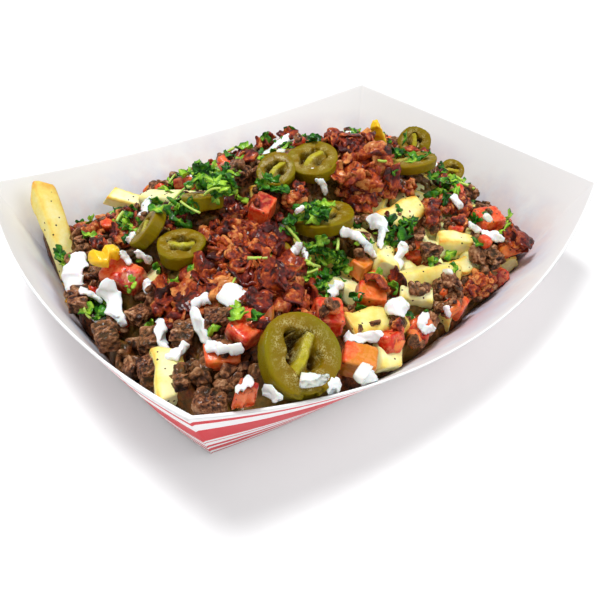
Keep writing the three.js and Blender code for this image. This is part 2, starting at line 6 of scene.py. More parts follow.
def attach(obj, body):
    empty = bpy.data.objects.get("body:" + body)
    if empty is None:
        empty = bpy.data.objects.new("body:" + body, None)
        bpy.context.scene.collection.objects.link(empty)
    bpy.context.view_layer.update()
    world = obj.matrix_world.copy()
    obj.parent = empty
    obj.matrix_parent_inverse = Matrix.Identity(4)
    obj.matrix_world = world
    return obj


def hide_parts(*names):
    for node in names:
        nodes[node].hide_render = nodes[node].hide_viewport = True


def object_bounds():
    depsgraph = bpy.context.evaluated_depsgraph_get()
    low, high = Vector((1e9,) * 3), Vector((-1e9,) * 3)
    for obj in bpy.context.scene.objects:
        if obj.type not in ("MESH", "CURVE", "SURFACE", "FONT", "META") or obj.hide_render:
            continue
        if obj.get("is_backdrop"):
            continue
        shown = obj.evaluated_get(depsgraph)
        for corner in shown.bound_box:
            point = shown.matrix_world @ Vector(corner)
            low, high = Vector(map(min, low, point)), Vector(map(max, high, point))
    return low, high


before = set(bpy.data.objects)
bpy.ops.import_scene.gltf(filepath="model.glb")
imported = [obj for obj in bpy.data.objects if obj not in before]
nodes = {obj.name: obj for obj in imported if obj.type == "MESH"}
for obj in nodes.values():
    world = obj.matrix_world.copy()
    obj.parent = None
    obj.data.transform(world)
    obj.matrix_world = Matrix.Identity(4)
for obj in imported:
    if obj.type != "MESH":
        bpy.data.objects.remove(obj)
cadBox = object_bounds()
mm = 0.001  # shapes are worked out in millimetres and stored in metres
foodTop = cadBox[1][2] / mm
print("frame loaded with", len(nodes), "nodes")

photoCamera = {
    "azimuth": -43.61, "elevation": 39.86, "distance": 214.22, "roll": 4.28, "focalPixels": 560.81,
    "target": (-35.71, -35.71, 24.96), "pictureSide": 600, "sensor": 36.0,
}


def cameraAxes():
    # where the lens stands in millimetres, and its right, upward and backward directions
    azimuth, elevation, roll = (np.radians(photoCamera[key]) for key in ("azimuth", "elevation", "roll"))
    back = np.array([np.sin(azimuth) * np.cos(elevation), -np.cos(azimuth) * np.cos(elevation), np.sin(elevation)])
    level = np.cross([0, 0, 1], back)
    level /= np.linalg.norm(level)
    above = np.cross(back, level)
    right = level * np.cos(roll) + above * np.sin(roll)
    above = above * np.cos(roll) - level * np.sin(roll)
    return np.array(photoCamera["target"]) + back * photoCamera["distance"], right, above, back


# Shared mesh tools

def gridFaces(rows, cols, wrap=False):
    # each cell of a grid as one four-sided face, the last column joined to the first when it wraps
    row, col = np.meshgrid(np.arange(rows - 1), np.arange(cols if wrap else cols - 1), indexing="ij")
    here, beside = (row * cols + col).ravel(), (row * cols + (col + 1) % cols).ravel()
    return np.stack([here, here + cols, beside + cols, beside], 1)


def fanFaces(centre, ring, flip=False):
    # a ring of points closed by triangles to one centre point
    beside = np.roll(ring, -1)
    first, second = (beside, ring) if flip else (ring, beside)
    return np.stack([np.full(len(ring), centre), first, second], 1)


def ball(rows, cols):
    # unit ball: rows at even angles from the top, cols round it, and one point at each pole
    down, around = np.meshgrid(np.linspace(0, np.pi, rows + 2)[1:-1],
                               np.linspace(0, 2 * np.pi, cols, endpoint=False), indexing="ij")
    body = np.stack([np.sin(down) * np.cos(around), np.sin(down) * np.sin(around), np.cos(down)], -1)
    points = np.concatenate([body.reshape(-1, 3), [[0, 0, 1], [0, 0, -1]]])
    last = (rows - 1) * cols
    caps = [fanFaces(rows * cols, np.arange(cols)), fanFaces(rows * cols + 1, last + np.arange(cols), True)]
    return points, [gridFaces(rows, cols, True), np.concatenate(caps)]


def slab(rows, cols):
    # faces of two equal grids, upper points first, closed by a band round their edge
    count = rows * cols
    upper = gridFaces(rows, cols)
    index = np.arange(count).reshape(rows, cols)
    edge = np.concatenate([index[:-1, 0], index[-1, :-1], index[:0:-1, -1], index[0, :0:-1]])
    beside = np.roll(edge, -1)
    band = np.stack([edge, edge + count, beside + count, beside], 1)
    return [upper, upper[:, ::-1] + count, band]


def softNoise(points, size, seed, octaves=3):
    # a sum of sine waves in drawn directions, each next octave twice as fine and half as high
    draw = np.random.default_rng(seed)
    total = np.zeros(points.shape[:-1])
    for octave in range(octaves):
        waves = draw.normal(size=(points.shape[-1], 7))
        waves *= 2 ** octave * 2 * np.pi / size / np.linalg.norm(waves, axis=0)
        total += 1.5 * np.sin(points @ waves + draw.uniform(0, 2 * np.pi, 7)).mean(-1) / 2 ** octave
    return total


def turnsOf(spin, lean, toward):
    # one matrix for each copy: spun about its own axis, then its top leaned toward a compass direction
    def about(axis, angle):
        turn = np.zeros((len(angle), 3, 3))
        first, second = [(1, 2), (2, 0), (0, 1)][axis]
        turn[:, axis, axis] = 1
        turn[:, first, first] = turn[:, second, second] = np.cos(angle)
        turn[:, second, first] = np.sin(angle)
        turn[:, first, second] = -np.sin(angle)
        return turn
    return about(2, toward) @ about(1, lean) @ about(2, spin - toward)


def copiesOf(shapes, faces, turns, places):
    # shapes is one array of points for each copy; every copy is turned, moved and joined into one mesh
    points = np.einsum("nij,npj->npi", turns, shapes) + places[:, None, :]
    step = np.arange(len(shapes))[:, None, None] * shapes.shape[1]
    blocks = [(block[None] + step).reshape(-1, block.shape[1]) for block in faces]
    return points.reshape(-1, 3), blocks


def joined(parts):
    # several (points, faces, values) as one
    points, blocks, values, start = [], [], {}, 0
    for somePoints, someFaces, someValues in parts:
        points.append(somePoints)
        blocks += [block + start for block in someFaces]
        start += len(somePoints)
        for key, column in someValues.items():
            values.setdefault(key, []).append(column)
    merged = {key: np.concatenate(columns) for key, columns in values.items()}
    return np.concatenate(points), blocks, merged


def makePiece(name, points, faces, look, stands=(), values=None, uv=None, looks=None):
    # a mesh straight from arrays, with its named values per point, riding on the part; food is kept inside the tray
    if name != "paperTray":
        points = keptInside(points)
    sizes = np.concatenate([np.full(len(block), block.shape[1]) for block in faces])
    corners = np.concatenate([block.ravel() for block in faces]).astype(np.int32)
    mesh = bpy.data.meshes.new(name)
    mesh.vertices.add(len(points))
    mesh.vertices.foreach_set("co", (points * mm).astype(np.float32).ravel())
    mesh.loops.add(len(corners))
    mesh.loops.foreach_set("vertex_index", corners)
    mesh.polygons.add(len(sizes))
    mesh.polygons.foreach_set("loop_start", (np.cumsum(sizes) - sizes).astype(np.int32))
    mesh.polygons.foreach_set("use_smooth", np.ones(len(sizes), bool))
    for key, column in (values or {}).items():
        mesh.attributes.new(key, "FLOAT", "POINT").data.foreach_set("value", column.astype(np.float32))
    if uv is not None:
        layer = mesh.uv_layers.new(name="printMap")
        layer.data.foreach_set("uv", uv[corners].astype(np.float32).ravel())
    for material in look if isinstance(look, list) else [look]:
        mesh.materials.append(material)
    if looks is not None:
        mesh.polygons.foreach_set("material_index", looks.astype(np.int32))
    mesh.update(calc_edges=True)
    piece = bpy.data.objects.new(name, mesh)
    bpy.context.scene.collection.objects.link(piece)
    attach(piece, "root")
    if stands:
        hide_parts(*stands)
    return piece


def nodeFaces(name):
    # the triangles of a CAD node in millimetres, as (count, 3 corners, 3)
    mesh = nodes[name].data
    corners = np.zeros(len(mesh.loops), np.int32)
    mesh.loops.foreach_get("vertex_index", corners)
    points = np.zeros(len(mesh.vertices) * 3, np.float32)
    mesh.vertices.foreach_get("co", points)
    return points.reshape(-1, 3)[corners].reshape(-1, 3, 3).astype(float) / mm


def nodeAxes(name):
    # middle, and the three directions of most to least spread, the last one pointing up
    points = np.unique(nodeFaces(name).reshape(-1, 3).round(2), axis=0)
    middle = (points.min(0) + points.max(0)) / 2
    axes = np.linalg.eigh(np.cov((points - middle).T))[1].T[::-1]
    axes[2] *= 1 if axes[2, 2] > 0 else -1
    axes[1] = np.cross(axes[2], axes[0])
    local = (points - middle) @ axes.T
    middle = middle + ((local.min(0) + local.max(0)) / 2) @ axes
    return middle, axes, (local.max(0) - local.min(0)) / 2


def numbered(kind):
    return sorted((name for name in nodes if name.startswith(kind + "_")), key=lambda name: int(name.split("_")[1]))


# Shared shader tools

def tint(red, green, blue):
    # a colour as seen on a screen, 0 to 255, as the linear colour that a shader takes
    share = np.array([red, green, blue]) / 255
    linear = np.where(share <= 0.04045, share / 12.92, ((share + 0.055) / 1.055) ** 2.4)
    return (*linear.tolist(), 1.0)


def addNode(tree, kind, inputs=None, **settings):
    made = tree.nodes.new(kind)
    for key, value in settings.items():
        setattr(made, key, value)
    for key, value in (inputs or {}).items():
        if isinstance(value, bpy.types.NodeSocket):
            tree.links.new(value, made.inputs[key])
        else:
            made.inputs[key].default_value = value
    return made


def addRamp(tree, source, stops):
    # colours along a value from 0 to 1
    ramp = addNode(tree, "ShaderNodeValToRGB", {"Fac": source})
    while len(ramp.color_ramp.elements) < len(stops):
        ramp.color_ramp.elements.new(0.5)
    for element, (place, colour) in zip(ramp.color_ramp.elements, stops):
        element.position = place
        element.color = colour
    return ramp.outputs["Color"]


def mixColours(tree, share, first, second, how="MIX"):
    mix = addNode(tree, "ShaderNodeMix", data_type="RGBA", blend_type=how)
    for socket, value in ((mix.inputs[0], share), (mix.inputs[6], first), (mix.inputs[7], second)):
        if isinstance(value, bpy.types.NodeSocket):
            tree.links.new(value, socket)
        else:
            socket.default_value = value
    return mix.outputs[2]


def startGroup(name, inputs, outputs):
    group = bpy.data.node_groups.new(name, "ShaderNodeTree")
    for direction, sockets in (("INPUT", inputs), ("OUTPUT", outputs)):
        for key, (kind, value) in sockets.items():
            socket = group.interface.new_socket(name=key, in_out=direction, socket_type="NodeSocket" + kind)
            if value is not None:
                socket.default_value = value
    return group, group.nodes.new("NodeGroupInput"), group.nodes.new("NodeGroupOutput")


def buildMottle():
    # blotches of two sizes: a mask from 0 to 1, and the colour that it picks between two
    group, given, made = startGroup(
        "mottle",
        {"Vector": ("Vector", None), "Scale": ("Float", 200.0), "Contrast": ("Float", 2.0),
         "First": ("Color", None), "Second": ("Color", None)},
        {"Color": ("Color", None), "Mask": ("Float", None)})
    coarse = addNode(group, "ShaderNodeTexNoise", {
        "Vector": given.outputs["Vector"], "Scale": given.outputs["Scale"], "Detail": 5.0, "Roughness": 0.62})
    centred = addNode(group, "ShaderNodeMath", {0: coarse.outputs["Fac"], 1: 0.5}, operation="SUBTRACT")
    spreadOut = addNode(group, "ShaderNodeMath", {
        0: centred.outputs[0], 1: given.outputs["Contrast"]}, operation="MULTIPLY")
    mask = addNode(group, "ShaderNodeMath", {0: spreadOut.outputs[0], 1: 0.5}, operation="ADD", use_clamp=True)
    colour = mixColours(group, mask.outputs[0], given.outputs["First"], given.outputs["Second"])
    group.links.new(colour, made.inputs["Color"])
    group.links.new(mask.outputs[0], made.inputs["Mask"])
    return group


def buildGrain():
    # a bumped normal: coarse lumps with finer grit on them
    group, given, made = startGroup(
        "grain",
        {"Vector": ("Vector", None), "Scale": ("Float", 600.0), "Strength": ("Float", 0.4),
         "Depth": ("Float", 0.0004)},
        {"Normal": ("Vector", None), "Height": ("Float", None)})
    lumps = addNode(group, "ShaderNodeTexNoise", {
        "Vector": given.outputs["Vector"], "Scale": given.outputs["Scale"], "Detail": 4.0, "Roughness": 0.65})
    bump = addNode(group, "ShaderNodeBump", {
        "Strength": given.outputs["Strength"], "Distance": given.outputs["Depth"], "Height": lumps.outputs["Fac"]})
    group.links.new(bump.outputs["Normal"], made.inputs["Normal"])
    group.links.new(lumps.outputs["Fac"], made.inputs["Height"])
    return group


mottleGroup, grainGroup = buildMottle(), buildGrain()


def startLook(name, **constants):
    # a material with its Principled shader, its object coordinates and its fixed values set
    look = bpy.data.materials.new(name)
    look.use_nodes = True
    tree = look.node_tree
    shader = tree.nodes["Principled BSDF"]
    for key, value in constants.items():
        shader.inputs[key.replace("_", " ")].default_value = value
    where = addNode(tree, "ShaderNodeTexCoord").outputs["Object"]
    return look, tree, shader, where


def addMottle(tree, where, scale, contrast, first, second):
    made = addNode(tree, "ShaderNodeGroup", node_tree=mottleGroup)
    for key, value in {"Vector": where, "Scale": scale, "Contrast": contrast, "First": first, "Second": second}.items():
        if isinstance(value, bpy.types.NodeSocket):
            tree.links.new(value, made.inputs[key])
        else:
            made.inputs[key].default_value = value
    return made


def addGrain(tree, shader, where, scale, strength, depth):
    made = addNode(tree, "ShaderNodeGroup", node_tree=grainGroup)
    tree.links.new(where, made.inputs["Vector"])
    made.inputs["Scale"].default_value = scale
    made.inputs["Strength"].default_value = strength
    made.inputs["Depth"].default_value = depth
    tree.links.new(made.outputs["Normal"], shader.inputs["Normal"])
    return made


def withSpecks(tree, where, colour, dark):
    # a colour with sparse dark specks: a small spot in the middle of every sixth cell
    cells = addNode(tree, "ShaderNodeTexVoronoi", {"Vector": where, "Scale": 420.0})
    spot = addNode(tree, "ShaderNodeMath", {0: cells.outputs["Distance"], 1: 0.17}, operation="LESS_THAN")
    some = addNode(tree, "ShaderNodeMath", {0: cells.outputs["Color"], 1: 0.62}, operation="GREATER_THAN")
    both = addNode(tree, "ShaderNodeMath", {0: spot.outputs[0], 1: some.outputs[0]}, operation="MULTIPLY")
    return mixColours(tree, both.outputs[0], colour, dark)


def pointValue(tree, name):
    return addNode(tree, "ShaderNodeAttribute", attribute_name=name, attribute_type="GEOMETRY").outputs["Fac"]


# The paper tray, which the food lies in

paperTray = {
    "rimHalf": (107, 74.5), "baseHalf": (91, 57), "rimHeight": 48, "board": 0.8,
    "rimBulge": (20, 10.5), "rimDip": (15, 4.5), "baseBow": (12.5, 8),  # long wall, short wall
    "tabShare": 0.16, "tabStep": 0.6,
    "columns": 46, "rows": 12,
    # stripes round the outside: distance down from the rim and thickness, as shares of the wall's height
    "stripes": [(0.075, 0.06), (0.27, 0.03), (0.43, 0.3), (0.62, 0.025), (0.74, 0.07), (0.85, 0.09), (0.97, 0.03)],
    "stripeWander": 0.035, "outside the rim": 999.0,
    "inside": tint(243, 243, 244), "bluishGrey": tint(206, 214, 236), "juice": tint(230, 200, 198),
    "grease": tint(176, 120, 84), "outside": tint(250, 248, 248), "ink": tint(214, 8, 32), "inkGlow": 0.15,
}


def wallPoints(side, u, share, inset):
    # rim and score line bow out as parabolas along the wall, the rim dips by one too, and the wall is straight
    # from score line to rim; side 0 faces -Y, then they go round anticlockwise
    long = side % 2 == 0
    pick = lambda pair: np.where(long, pair[0], pair[1])
    other = lambda pair: np.where(long, pair[1], pair[0])
    bow = 1 - (2 * u - 1) ** 2
    rim = paperTray["rimHeight"] - pick(paperTray["rimDip"]) * bow
    alongHalf = (1 - share) * pick(paperTray["baseHalf"]) + share * pick(paperTray["rimHalf"]) - inset
    baseOut = other(paperTray["baseHalf"]) + pick(paperTray["baseBow"]) * bow
    rimOut = other(paperTray["rimHalf"]) + pick(paperTray["rimBulge"]) * bow
    along, out = (2 * u - 1) * alongHalf, (1 - share) * baseOut + share * rimOut - inset
    x = np.choose(side, [along, out, -along, -out])
    y = np.choose(side, [-out, along, out, -along])
    return np.stack([x, y, share * rim], -1)


def wallUnder(x, y, inset):
    # height of the walls' inner face below a spot, moved in by an inset: nought or less over the base; the share of
    # the wall's height sets how long the wall is there, so the two are found together in a few rounds
    highest = np.full(np.shape(x), -1.0)
    for wall, (along, out) in enumerate(((np.abs(x), np.abs(y)), (np.abs(y), np.abs(x)))):
        share = np.full(np.shape(x), 0.5)
        for _ in range(5):
            alongHalf = paperTray["baseHalf"][wall] * (1 - share) + paperTray["rimHalf"][wall] * share
            bow = np.clip(1 - (along / alongHalf) ** 2, 0, 1)
            rim = paperTray["rimHeight"] - paperTray["rimDip"][wall] * bow
            foot = paperTray["baseHalf"][1 - wall] + paperTray["baseBow"][wall] * bow - inset
            top = paperTray["rimHalf"][1 - wall] + paperTray["rimBulge"][wall] * bow - inset
            share = np.clip((out - foot) / (top - foot), -0.2, 1.3)
        highest = np.maximum(highest, np.where(share > 1, paperTray["outside the rim"], share * rim))
    return highest


def insideTray(points, margin):
    # true where a point lies inside all four walls by a margin
    return points[..., 2] > wallUnder(points[..., 0], points[..., 1], margin)


def keptInside(points, margin=1.15, step=0.985, rounds=14):
    # points that would cut a wall move toward the middle, step by step, until they clear it,
    points = points.copy()
    for _ in range(rounds):
        cuts = points[:, 2] < wallUnder(points[:, 0], points[:, 1], margin)
        points[cuts, :2] *= step
    # and what would stand out of the food's top is pressed down softly
    over = np.maximum(points[:, 2] - foodTop + 2, 0)
    points[:, 2] -= over - 3 * np.tanh(over / 3)
    return points


def paperLooks():
    # inside: pale board that is bluish-grey in blotches low down, with greasy marks low down; outside: gloss print of
    # red stripes that run with the rim and wander a little in height and thickness
    inside, tree, shader, where = startLook("paperInside", Roughness=0.6, IOR=1.4)
    height = addNode(tree, "ShaderNodeSeparateXYZ", {0: where}).outputs["Z"]
    low = addNode(tree, "ShaderNodeMapRange", {
        "Value": height, "From Min": 0.014, "From Max": 0.036, "To Min": 1.0, "To Max": 0.0}).outputs[0]
    blot = addMottle(tree, where, 34.0, 5.0, (0, 0, 0, 1), (1, 1, 1, 1)).outputs["Mask"]
    cast = addNode(tree, "ShaderNodeMath", {0: low, 1: blot}, operation="MULTIPLY").outputs[0]
    colour = mixColours(tree, cast, paperTray["inside"], paperTray["bluishGrey"])
    wide = addMottle(tree, where, 46.0, 6.0, (0, 0, 0, 1), (1, 1, 1, 1)).outputs["Mask"]
    pink = addNode(tree, "ShaderNodeMath", {0: addNode(tree, "ShaderNodeMath", {0: wide, 1: low},
                   operation="MULTIPLY").outputs[0], 1: 0.55}, operation="MULTIPLY").outputs[0]
    colour = mixColours(tree, pink, colour, paperTray["juice"])
    foot = addNode(tree, "ShaderNodeMapRange", {
        "Value": height, "From Min": 0.005, "From Max": 0.015, "To Min": 1.0, "To Max": 0.0}).outputs[0]
    drops = addMottle(tree, where, 110.0, 8.0, (0, 0, 0, 1), (1, 1, 1, 1)).outputs["Mask"]
    grease = addNode(tree, "ShaderNodeMath", {0: drops, 1: foot}, operation="MULTIPLY").outputs[0]
    tree.links.new(mixColours(tree, grease, colour, paperTray["grease"]), shader.inputs["Base Color"])
    addGrain(tree, shader, where, 900.0, 0.12, 0.0002)

    outside, tree, shader, where = startLook("paperPrint", Roughness=0.4, IOR=1.45, Specular_IOR_Level=0.2)
    printMap = addNode(tree, "ShaderNodeUVMap", uv_map="printMap").outputs[0]
    down = addNode(tree, "ShaderNodeSeparateXYZ", {0: printMap}).outputs["Y"]
    ink = None
    for index, (place, thick) in enumerate(paperTray["stripes"]):
        wave = addNode(tree, "ShaderNodeTexNoise", {"Vector": where, "Scale": 14.0 + 3 * index, "Detail": 1.0})
        shift = addNode(tree, "ShaderNodeMath", {0: wave.outputs["Fac"], 1: paperTray["stripeWander"], 2: place},
                        operation="MULTIPLY_ADD")
        far = addNode(tree, "ShaderNodeMath", {0: down, 1: shift.outputs[0]}, operation="SUBTRACT")
        far = addNode(tree, "ShaderNodeMath", {0: far.outputs[0]}, operation="ABSOLUTE")
        reach = addNode(tree, "ShaderNodeMath", {0: wave.outputs["Fac"], 1: thick}, operation="MULTIPLY")
        band = addNode(tree, "ShaderNodeMath", {0: far.outputs[0], 1: reach.outputs[0]}, operation="LESS_THAN").outputs[0]
        ink = band if ink is None else addNode(tree, "ShaderNodeMath", {0: ink, 1: band}, operation="MAXIMUM").outputs[0]
    # light that bounces off the print carries only a little of its red
    direct = addNode(tree, "ShaderNodeMapRange", {"Value": addNode(tree, "ShaderNodeLightPath").outputs[0],
                                                 "To Min": paperTray["inkGlow"], "To Max": 1.0}).outputs[0]
    ink = addNode(tree, "ShaderNodeMath", {0: ink, 1: direct}, operation="MULTIPLY").outputs[0]
    tree.links.new(mixColours(tree, ink, paperTray["outside"], paperTray["ink"]), shader.inputs["Base Color"])
    addGrain(tree, shader, where, 900.0, 0.08, 0.0002)
    return inside, outside


def makeTray():
    # outer skin from the base up, rim, inner skin down to the floor; extra rows and columns lie close to each
    # crease, so that it stays crisp
    columns, rows, close = paperTray["columns"], paperTray["rows"], 0.005
    u = np.concatenate([[0, close], np.linspace(close, 1 - close, columns)[1:-1], [1 - close]])
    shares = np.concatenate([[0, 0.012], np.linspace(0.012, 0.994, rows)[1:-1], [0.994, 1]])
    side = np.repeat(np.arange(4), len(u))
    u = np.tile(u, 4)
    inTab = (side % 2 == 1) & (np.minimum(u, 1 - u) < paperTray["tabShare"]) & (u > 0)
    proud = np.where(inTab, paperTray["tabStep"], 0.0)
    board = paperTray["board"] * 1.15
    outer = [wallPoints(side, u, share, -proud) for share in shares]
    inner = [wallPoints(side, u, share, board) for share in shares[::-1]]
    inner[-1][:, 2] = paperTray["board"]
    inner[-2][:, 2] = np.maximum(inner[-2][:, 2], paperTray["board"] + 0.05)
    floorRings = [np.concatenate([outer[0][:, :2] * part, np.zeros((len(u), 1))], 1) for part in (0.4, 0.8, 0.99)]
    insideRings = [np.concatenate([inner[-1][:, :2] * part, np.full((len(u), 1), paperTray["board"])], 1)
                   for part in (0.99, 0.8, 0.4)]
    rings = [*floorRings, *outer, *inner, *insideRings]
    points = np.concatenate([*rings, [[0, 0, 0]], [[0, 0, paperTray["board"]]]])
    count, total = len(u), len(rings) * len(u)
    faces = [gridFaces(len(rings), count, True)[:, ::-1], fanFaces(total, np.arange(count), True),
             fanFaces(total + 1, total - count + np.arange(count))]
    outerRows = len(floorRings) + len(outer) - 1
    looks = np.concatenate([np.repeat(np.arange(len(rings) - 1) < outerRows, count), np.ones(count), np.zeros(count)])
    downShare = 1 - np.concatenate([[-1] * len(floorRings), shares, shares[::-1], [-1] * len(insideRings)])
    uv = np.stack([np.tile(u + side, len(rings)), np.repeat(downShare, count)], 1)
    uv = np.concatenate([uv, [[0, 2], [0, 2]]])
    inside, outside = paperLooks()
    makePiece("paperTray", points, faces, [inside, outside], ["tray"], uv=uv, looks=looks)


makeTray()
print("paper tray folded")


# Ground: how high the food stands at each spot so far, on a fine grid of cells seen from above

ground = {"cell": 1.0, "low": np.array([-122.0, -100.0]), "count": np.array([245, 201]), "sightStep": 0.5}
cellX, cellY = (ground["low"][:, None, None] + ground["cell"] * np.indices(ground["count"]))
heights = np.zeros(ground["count"])
taken = np.zeros(ground["count"], bool)  # cells that loose bits keep off
piled = np.zeros(ground["count"], bool)  # cells under a bacon pile, which only bacon, leaves and cream lie on


def raiseGround(points, claims=False):
    cells = ((points[:, :2] - ground["low"]) / ground["cell"]).round().astype(int)
    inside = ((cells >= 0) & (cells < ground["count"])).all(1)
    cells = tuple(cells[inside].T)
    if claims:
        taken[cells] |= points[inside, 2] > heights[cells] - 0.5
    np.maximum.at(heights, cells, points[inside, 2])


def spreadOver(triangles, steps):
    # even points over each triangle
    first, second = np.meshgrid(np.arange(steps + 1), np.arange(steps + 1), indexing="ij")
    keep = first + second <= steps
    first, second = first[keep] / steps, second[keep] / steps
    weights = np.stack([1 - first - second, first, second], 1)
    return np.einsum("wc,tcx->twx", weights, triangles).reshape(-1, 3)


def liftUnder(names, field, board, sink, edgeDrop, most=9.0):
    # how much the bed rises under placed pieces until it carries them. The lowest piece over each cell counts; its
    # lowest third asks for what the bed, sunk and dropped toward the walls, lacks there, and the rest of its
    # underside is filled up where the gap isn't high
    lowest, owner = np.full(ground["count"], 999.0), np.full(ground["count"], -1)
    for index, name in enumerate(names):
        points = spreadOver(nodeFaces(name), 12)
        under = np.full(ground["count"], 999.0)
        np.minimum.at(under, tuple(((points[:, :2] - ground["low"]) / ground["cell"]).round().astype(int).T), points[:, 2])
        below = under < lowest
        lowest[below], owner[below] = under[below], index
    wall = wallUnder(cellX, cellY, board)
    lack = np.maximum(lowest + 0.6 - (field - sink), np.where(wall < lowest - 1.0, wall + edgeDrop + 0.5 - field, 0))
    lift = np.zeros(ground["count"])
    for index in range(len(names)):
        mine = owner == index
        if mine.sum() > 5:
            foot = mine & (lowest <= np.quantile(lowest[mine], 0.33))
            rise = np.clip(np.median(lack[foot]), 0, most)
            far = np.hypot(cellX - cellX[foot].mean(), cellY - cellY[foot].mean())
            lift = np.maximum(lift, rise * np.exp(-(far / (3.0 + np.sqrt(foot.sum() / np.pi))) ** 4))
    gap = lowest + 0.2 - (field - sink)
    filled = blurred(np.where((gap > 0) & (gap < 2 * most), np.minimum(gap, 0.55 * most), 0), 2)
    return np.maximum(lift, np.minimum(filled, np.maximum(gap, 0)))


def blurred(field, passes):
    for _ in range(passes):
        for axis in (0, 1):
            field = (np.roll(field, 1, axis) + 2 * field + np.roll(field, -1, axis)) / 4
    return field


def opened(field, reach):
    # ridges narrower than twice the reach are taken off: the lowest of all cells around, then the highest of those
    for pick in (np.minimum, np.maximum):
        for _ in range(reach):
            for axis in (0, 1):
                field = pick(field, pick(np.roll(field, 1, axis), np.roll(field, -1, axis)))
    return field


def sampled(field, x, y):
    # the field between its cells, by the weights of the four nearest
    place = (np.stack([x, y], -1) - ground["low"]) / ground["cell"]
    place = np.clip(place, 0, ground["count"] - 1.001)
    whole = place.astype(int)
    (i, j), (a, b) = np.moveaxis(whole, -1, 0), np.moveaxis(place - whole, -1, 0)
    return ((1 - a) * (1 - b) * field[i, j] + a * (1 - b) * field[i + 1, j]
            + (1 - a) * b * field[i, j + 1] + a * b * field[i + 1, j + 1])


def slopeAt(field, x, y, step=2.0):
    # downhill direction and steepness, as the lean of a piece that lies flat there
    dx = (sampled(field, x + step, y) - sampled(field, x - step, y)) / (2 * step)
    dy = (sampled(field, x, y + step) - sampled(field, x, y - step)) / (2 * step)
    return np.arctan(np.hypot(dx, dy)), np.arctan2(-dy, -dx)


def spotsIn(patches, draw):
    # spots drawn evenly in ellipses: a patch is (x, y, reachX, reachY, spin in degrees, count)
    spots = []
    for x, y, reachX, reachY, spin, count in patches:
        share, around = np.sqrt(draw.uniform(0, 1, count)), draw.uniform(0, 2 * np.pi, count)
        a, b, turn = reachX * share * np.cos(around), reachY * share * np.sin(around), np.radians(spin)
        spots.append(np.stack([x + a * np.cos(turn) - b * np.sin(turn), y + a * np.sin(turn) + b * np.cos(turn)], 1))
    return np.concatenate(spots)


def sightLines(pixels):
    # the lens, and the direction of the line of sight through each pixel of the photograph
    place, right, above, back = cameraAxes()
    flat = (np.asarray(pixels, float) - photoCamera["pictureSide"] / 2) / photoCamera["focalPixels"]
    return place, flat[..., :1] * right - flat[..., 1:] * above - back


def sightReach(pixels, field):
    # how far along its line of sight each pixel first meets a field of heights
    place, sight = sightLines(pixels)
    far = np.arange(0.5, 1.7, ground["sightStep"] / photoCamera["distance"]) * photoCamera["distance"]
    points = place + sight[..., None, :] * far[:, None]
    met = points[..., 2] <= sampled(field, points[..., 0], points[..., 1])
    return np.where(met.any(-1), far[met.argmax(-1)], far[-1])


def seenAt(pixels):
    # where lines of sight through pixels of the photograph first meet the food, seen from above
    place, sight = sightLines(pixels)
    return (place + sight * sightReach(pixels, heights)[..., None])[..., :2]


def spotsFor(spec, draw):
    # spots of a scattered kind: those in patches of the photograph and those in patches of the ground
    spots = []
    if spec.get("seen"):
        spots.append(seenAt(spotsIn([(x, y, reachX, reachY, 0, count) for x, y, reachX, reachY, count in spec["seen"]],
                                    draw)))
    if spec.get("spread"):
        spots.append(spotsIn(spec["spread"], draw))
    if spec.get("edge"):
        # and some along the bed's outer rings
        outer = coreTop[-len(coreTop) // 6:, :2]
        spots.append(outer[draw.integers(len(outer), size=spec["edge"])] + draw.normal(0, 1.5, (spec["edge"], 2)))
    return np.concatenate(spots)


def laidOnGround(spots, size, sink, leanMost, draw, blur=2, margin=1.5, off=taken, clear=0.16):
    # places and turns of pieces that lie on the food at these spots, not on the tray's walls, under the food's top
    # and off the cells of a mask
    field = blurred(heights, blur)
    x, y = spots.T
    places = np.stack([x, y, sampled(field, x, y) - sink], 1)
    lean, toward = slopeAt(field, x, y)
    keep = insideTray(places + [0, 0, 2.0], margin) & (places[:, 2] + size * 0.15 < foodTop)
    keep &= sampled(heights, x, y) > wallUnder(x, y, 2 * paperTray["board"]) + 1.0
    for stepX, stepY in ((0, 0), (clear, 0), (-clear, 0), (0, clear), (0, -clear)):
        keep &= sampled(off.astype(float), x + stepX * size, y + stepY * size) < 0.5
    lean = np.clip(lean, 0, 1.0) + draw.uniform(-leanMost, leanMost, len(x))
    toward = toward + draw.uniform(-0.5, 0.5, len(x))
    turns = turnsOf(draw.uniform(0, 2 * np.pi, len(x)), lean, toward)
    return places[keep], turns[keep], keep


# The bed: its core, the fries on it and the crumbs between them

raiseGround(spreadOver(nodeFaces("fries_heap"), 14))
bedHeights = heights.copy()
moundHeights = opened(bedHeights, 5)  # without the fries that stand out of it
placed = [name for kind in ("steak", "tomato", "jalapeno", "onion", "cheese") for name in numbered(kind)]

bed = {
    "sink": 2.6, "edgeDrop": 7.0, "relief": 1.2, "grit": 0.9, "ragged": 1.1, "blur": 2, "rings": 110, "columns": 84, "underside": 1.4,
    "board": 1.3, "levels": 40,
    # deep is partly greasy crumb colour and partly painted shade for the gaps between the pieces
    "deep": tint(40, 18, 8), "warm": tint(142, 74, 30), "olive": tint(128, 106, 36),
}


def coreLook():
    look, tree, shader, where = startLook("crumbAndGapShade", Roughness=0.4, Coat_Weight=0.2, Coat_Roughness=0.12,
                                          Specular_IOR_Level=0.2)
    # the dark crumb colour is partly the greasy crumbs and partly painted shade of the gaps between the pieces
    small = addMottle(tree, where, 420.0, 4.0, bed["deep"], bed["warm"])
    large = addMottle(tree, where, 60.0, 6.0, (0, 0, 0, 1), (0.6, 0.6, 0.6, 1))
    tree.links.new(mixColours(tree, large.outputs["Color"], small.outputs["Color"], bed["olive"]),
                   shader.inputs["Base Color"])
    addGrain(tree, shader, where, 500.0, 0.9, 0.001)
    return look


